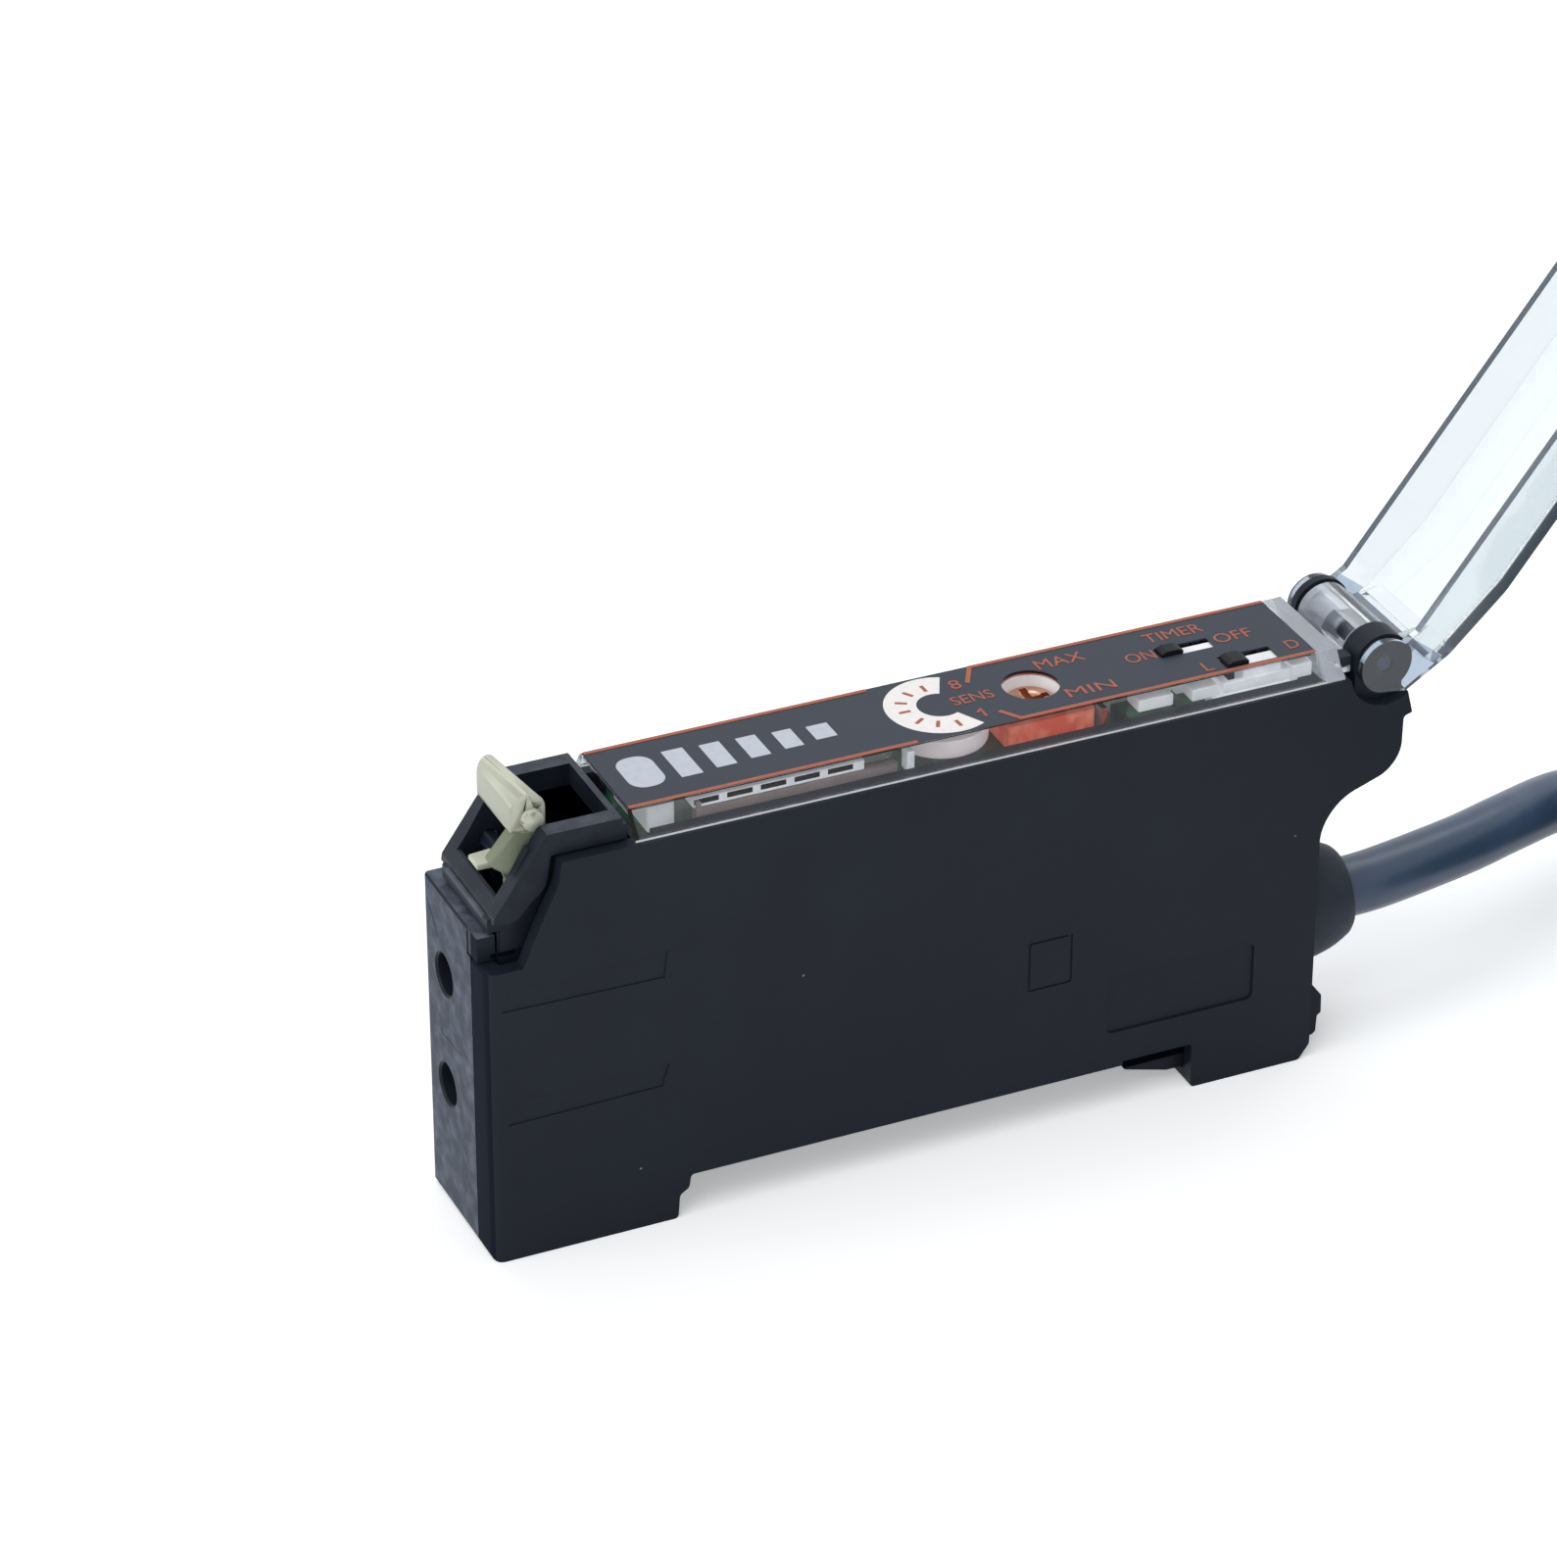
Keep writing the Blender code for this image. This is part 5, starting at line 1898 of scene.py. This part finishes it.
    def board_parts(self) -> None:
        """Small parts on the display board along the near side."""
        white = (
            ("chip_resistor", (43.9, 46.3), (-3.2, -1.6), (27.3, 28.1)),
            ("capacitor", (47.6, 49.4), (-3.2, -1.4), (27.2, 28.0)),
            ("connector_post", (49.0, 50.2), (-3.45, -2.2), (26.2, 27.1)),
            ("end_spacer", (54.5, 55.9), (-3.3, -1.2), (26.9, 28.2)),
            ("front_post", (28.2, 28.7), (-3.3, -2.4), (26.9, 28.3)),
        )
        for name, x, y, z in white:
            part = Shape.block(x, y, z, 0.1)
            part.settle(f"board_{name}", [FINISH.white], Body.CASE, edge=0.08)
        strip = Shape.block((42.9, 47.2), (-3.45, -1.3), (26.3, 27.15), 0.05)
        strip.settle("board_riser", [FINISH.board], Body.CASE, edge=0.03)
        bracket = Shape.block((41.2, 41.6), (-3.5, -2.4), (26.3, 28.4), 0.05)
        bracket.settle("board_bracket", [FINISH.clear], Body.CASE, edge=0.05)

    def kept(self) -> None:
        """Gives the CAD solids that stay their finishes."""
        finishes = {
            "fibre_clamp": FINISH.steel,
            "optics_block": FINISH.housing,
            "emitter_led": FINISH.clear,
            "receiver_diode": FINISH.knob,
            "main_board": FINISH.board,
            "display_board": FINISH.board,
        }
        for name, finish in finishes.items():
            data = bpy.data.objects[name].data
            data.materials.clear()
            data.materials.append(finish.material())
            LOG.info("%s keeps its CAD shape in %s", name, finish.name)


@dataclass
class Lid:
    """Clear protective cover, drawn closed and swung open on its hinge."""

    hinge: Span = HINGE
    opened: float = 127.7
    inner: float = 4.32
    outer: float = 4.87
    plate: float = 0.9
    edge: float = 28.1
    shoulder: Span = (57.8, 31.15)
    crest: Span = (52.6, 31.95)
    front: float = 9.74
    back: float = 57.6
    ear_radius: float = 1.8
    barrel_radius: float = 1.85
    barrel: Span = (-2.3, 3.4)
    boss_radius: float = 2.2

    def build(self) -> None:
        """Makes the cover, with painted shade on its cut edges."""
        x, z = self.hinge
        high = self.crest[1]
        side = [
            (self.front, self.edge, 0.3),
            (self.back, self.edge),
            *arc(self.hinge, self.ear_radius, 176, 400, 26),
            (x + 0.73, z + 2.33, 0.2),
            (*self.shoulder, 1.0),
            (*self.crest, 3.0),
            (self.front, high, 1.4),
        ]
        channel = [
            (self.front - 2, self.edge - 5),
            (x + 5, self.edge - 5),
            (x + 5, z + 0.9),
            (x + 0.6, z + 1.3),
            (self.shoulder[0], self.shoulder[1] - self.plate, 0.6),
            (self.crest[0], high - self.plate, 2.0),
            (self.front - 2, high - self.plate),
        ]
        knuckle = [
            *arc(self.hinge, self.barrel_radius, 145, 410, 30),
            (x + 0.65, z + 2.2),
            (self.shoulder[0], self.shoulder[1] - 0.1),
            (self.shoulder[0] - 0.6, self.shoulder[1] - self.plate + 0.1),
        ]
        cover = Shape.prism(side, Axis.Y, -self.outer, self.outer)
        cover.cut(
            Shape.prism(channel, Axis.Y, -self.inner, self.inner),
            Shape.block((x - 1.6, x + 4), (-self.inner, self.inner), (self.edge - 5, high + 2)),
            Shape.rod(Axis.Y, self.hinge, self.boss_radius + 0.12, (-self.inner, self.inner), 40),
        )
        cover.join(Shape.prism(knuckle, Axis.Y, *self.barrel))
        cover.cut(
            Shape.rod(Axis.Y, self.hinge, PIN_HOLE, (0.01 - self.inner, self.inner - 0.01)),
            Shape.block((x - 0.7, x + 0.75), (-2.2, 0.5), (z - 3, z)),
        )
        # the sides are divided along the plate's underside and before the hinge, to be painted
        cover.split(Vector((0.0, 0.0, high - self.plate)), Vector((0.0, 0.0, 1.0)))
        crest = Vector((self.crest[0], 0.0, high - self.plate))
        cover.split(crest, Vector((-self.slope, 0.0, 1.0)))
        for at in (self.back + 0.5, x - 2.0, x - 1.6):
            cover.split(Vector((at, 0.0, 0.0)), Vector((1.0, 0.0, 0.0)))
        # the rims and plate sides take the dark finish: painted shade
        cover.paint(1, self.is_edge)
        ears = self.inner - 0.01
        cover.paint(2, lambda at, normal: at.x > self.back + 0.5 and abs(at.y) > ears)
        barrel = self.barrel[1] + 0.05
        cover.paint(3, lambda at, normal: at.x > self.back + 1.5 and abs(at.y) < barrel)
        cover.turn(self.opened, Axis.Y, Vector((x, 0.0, z)))
        cover.settle(
            "protective_cover_moulding",
            [FINISH.lid, FINISH.lid_edge_shade, FINISH.lid_ear, FINISH.hazy],
            Body.COVER,
            ["protective_cover"],
            "clear_plastic",
            0.03,
        )

    @property
    def slope(self) -> float:
        """Rise over run of the plate behind its crest."""
        return (self.crest[1] - self.shoulder[1]) / (self.crest[0] - self.shoulder[0])

    def is_edge(self, at: Vector, normal: Vector) -> bool:
        """Whether a face is on the rim of a wall or on the side of the plate, which are painted
        dark as shade.

        Args:
            at: the face's middle.
            normal: its normal.

        Returns:
            Whether it is.
        """
        # the plate starts with a painted dark line of shade across, just before the knuckle
        before_hinge = -2.0 <= at.x - self.hinge[0] <= -1.6
        if before_hinge and abs(at.y) < self.inner and normal.z < -0.3:
            return True
        if at.x > self.back + 0.1:
            return False
        if abs(at.z - self.edge) < 0.05 and normal.z < -0.8:
            return True
        ceiling = self.crest[1] - self.plate
        if at.x > self.crest[0]:
            ceiling += self.slope * (at.x - self.crest[0])
        return normal.y < -0.9 and at.y < 0.05 - self.outer and at.z > ceiling + 0.1


@dataclass
class SmallParts:
    """Hinge pin, rail slider and cable boot."""

    hinge: Span = HINGE
    pin_radius: float = 0.6
    pin_half: float = 4.1
    pin_chamfer: float = 0.15
    reach: float = 3.88
    cable: Span = CABLE_AXIS
    boot_foot: float = 56.45

    def build(self) -> None:
        """Makes the three pieces."""
        self.pin()
        self.slider()
        self.boot()

    def pin(self) -> None:
        """Drawn pin with chamfered ends."""
        radius, half, chamfer = self.pin_radius, self.pin_half, self.pin_chamfer
        ends = [
            (-half, 0),
            (-half, radius - chamfer),
            (chamfer - half, radius),
            (half - chamfer, radius),
            (half, radius - chamfer),
            (half, 0),
        ]
        pin = Shape.turned(ends, Axis.Y, self.hinge, 32)
        pin.settle("hinge_pin_drawn", [FINISH.steel], Body.CASE, ["hinge_pin"], "pin_steel")

    def slider(self) -> None:
        """Sprung hook in the rail slot, with the pull tab at the back."""
        profile = [
            (43.0, 1.9, 0.1),
            (46.45, 0.95, 0.3),
            (56.4, 0.75, 0.1),
            (57.0, 0.85, 0.15),
            (57.22, 1.05, 0.1),
            (57.28, 2.2, 0.1),
            (57.55, 2.4, 0.1),
            (57.52, 3.7, 0.3),
            (56.45, 5.15, 0.2),
            (56.45, 3.6),
            (47.95, 3.6, 0.2),
            (47.95, 1.95, 0.1),
        ]
        slider = Shape.prism(profile, Axis.Y, -self.reach, self.reach)
        slider.cut(
            Shape.rod(Axis.X, self.cable, 4.25, (54.0, 60.0), 48),
            Shape.block((56.9, 58.0), (-1.6, 1.6), (2.0, 2.3)),
            Shape.block((49.5, 54.5), (-1.4, 1.4), (0.0, 1.6), 0.3),
        )
        slider.settle("rail_hook", [FINISH.case], Body.SLIDER, ["rail_slider"], "case_plastic", 0.1)

    def boot(self) -> None:
        """Domed strain relief with a shallow step at its foot."""
        face = self.boot_foot
        steps = (0.12, 0.25, 0.38, 0.5, 0.62, 0.74, 0.86, 1.0)
        dome = [(face + 3.7 * t, 3.95 - 0.9 * t**2.2) for t in steps]
        profile = [
            (53.9, 0.0),
            (53.9, 3.3),
            (54.8, 3.3),
            (54.8, 2.3),
            (face, 2.3),
            (face, 3.8),
            (face + 0.15, 3.95),
            *dome,
            (60.3, 2.9),
            (60.36, 2.7),
            (60.36, 0.0),
        ]
        boot = Shape.turned(profile, Axis.X, self.cable, 56)
        boot.paint(1, lambda at, normal: 60.1 < at.x < 60.34)
        finishes = [FINISH.boot, FINISH.boot_rim]
        boot.settle("cable_boot_moulding", finishes, Body.CASE, ["cable_boot"], "boot_rubber")


def main() -> None:
    logging.basicConfig(level=logging.INFO)
    for obj in list(bpy.data.objects):
        bpy.data.objects.remove(obj, do_unlink=True)
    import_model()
    Studio().build()
    Cable().build()
    Case().build()
    LeverHousing().build()
    LockLever().build()
    holes = TopHoles()
    Window(holes).build()
    Label(holes).build()
    Internals(holes).build()
    Lid().build()
    SmallParts().build()


if __name__ == "__main__":
    main()
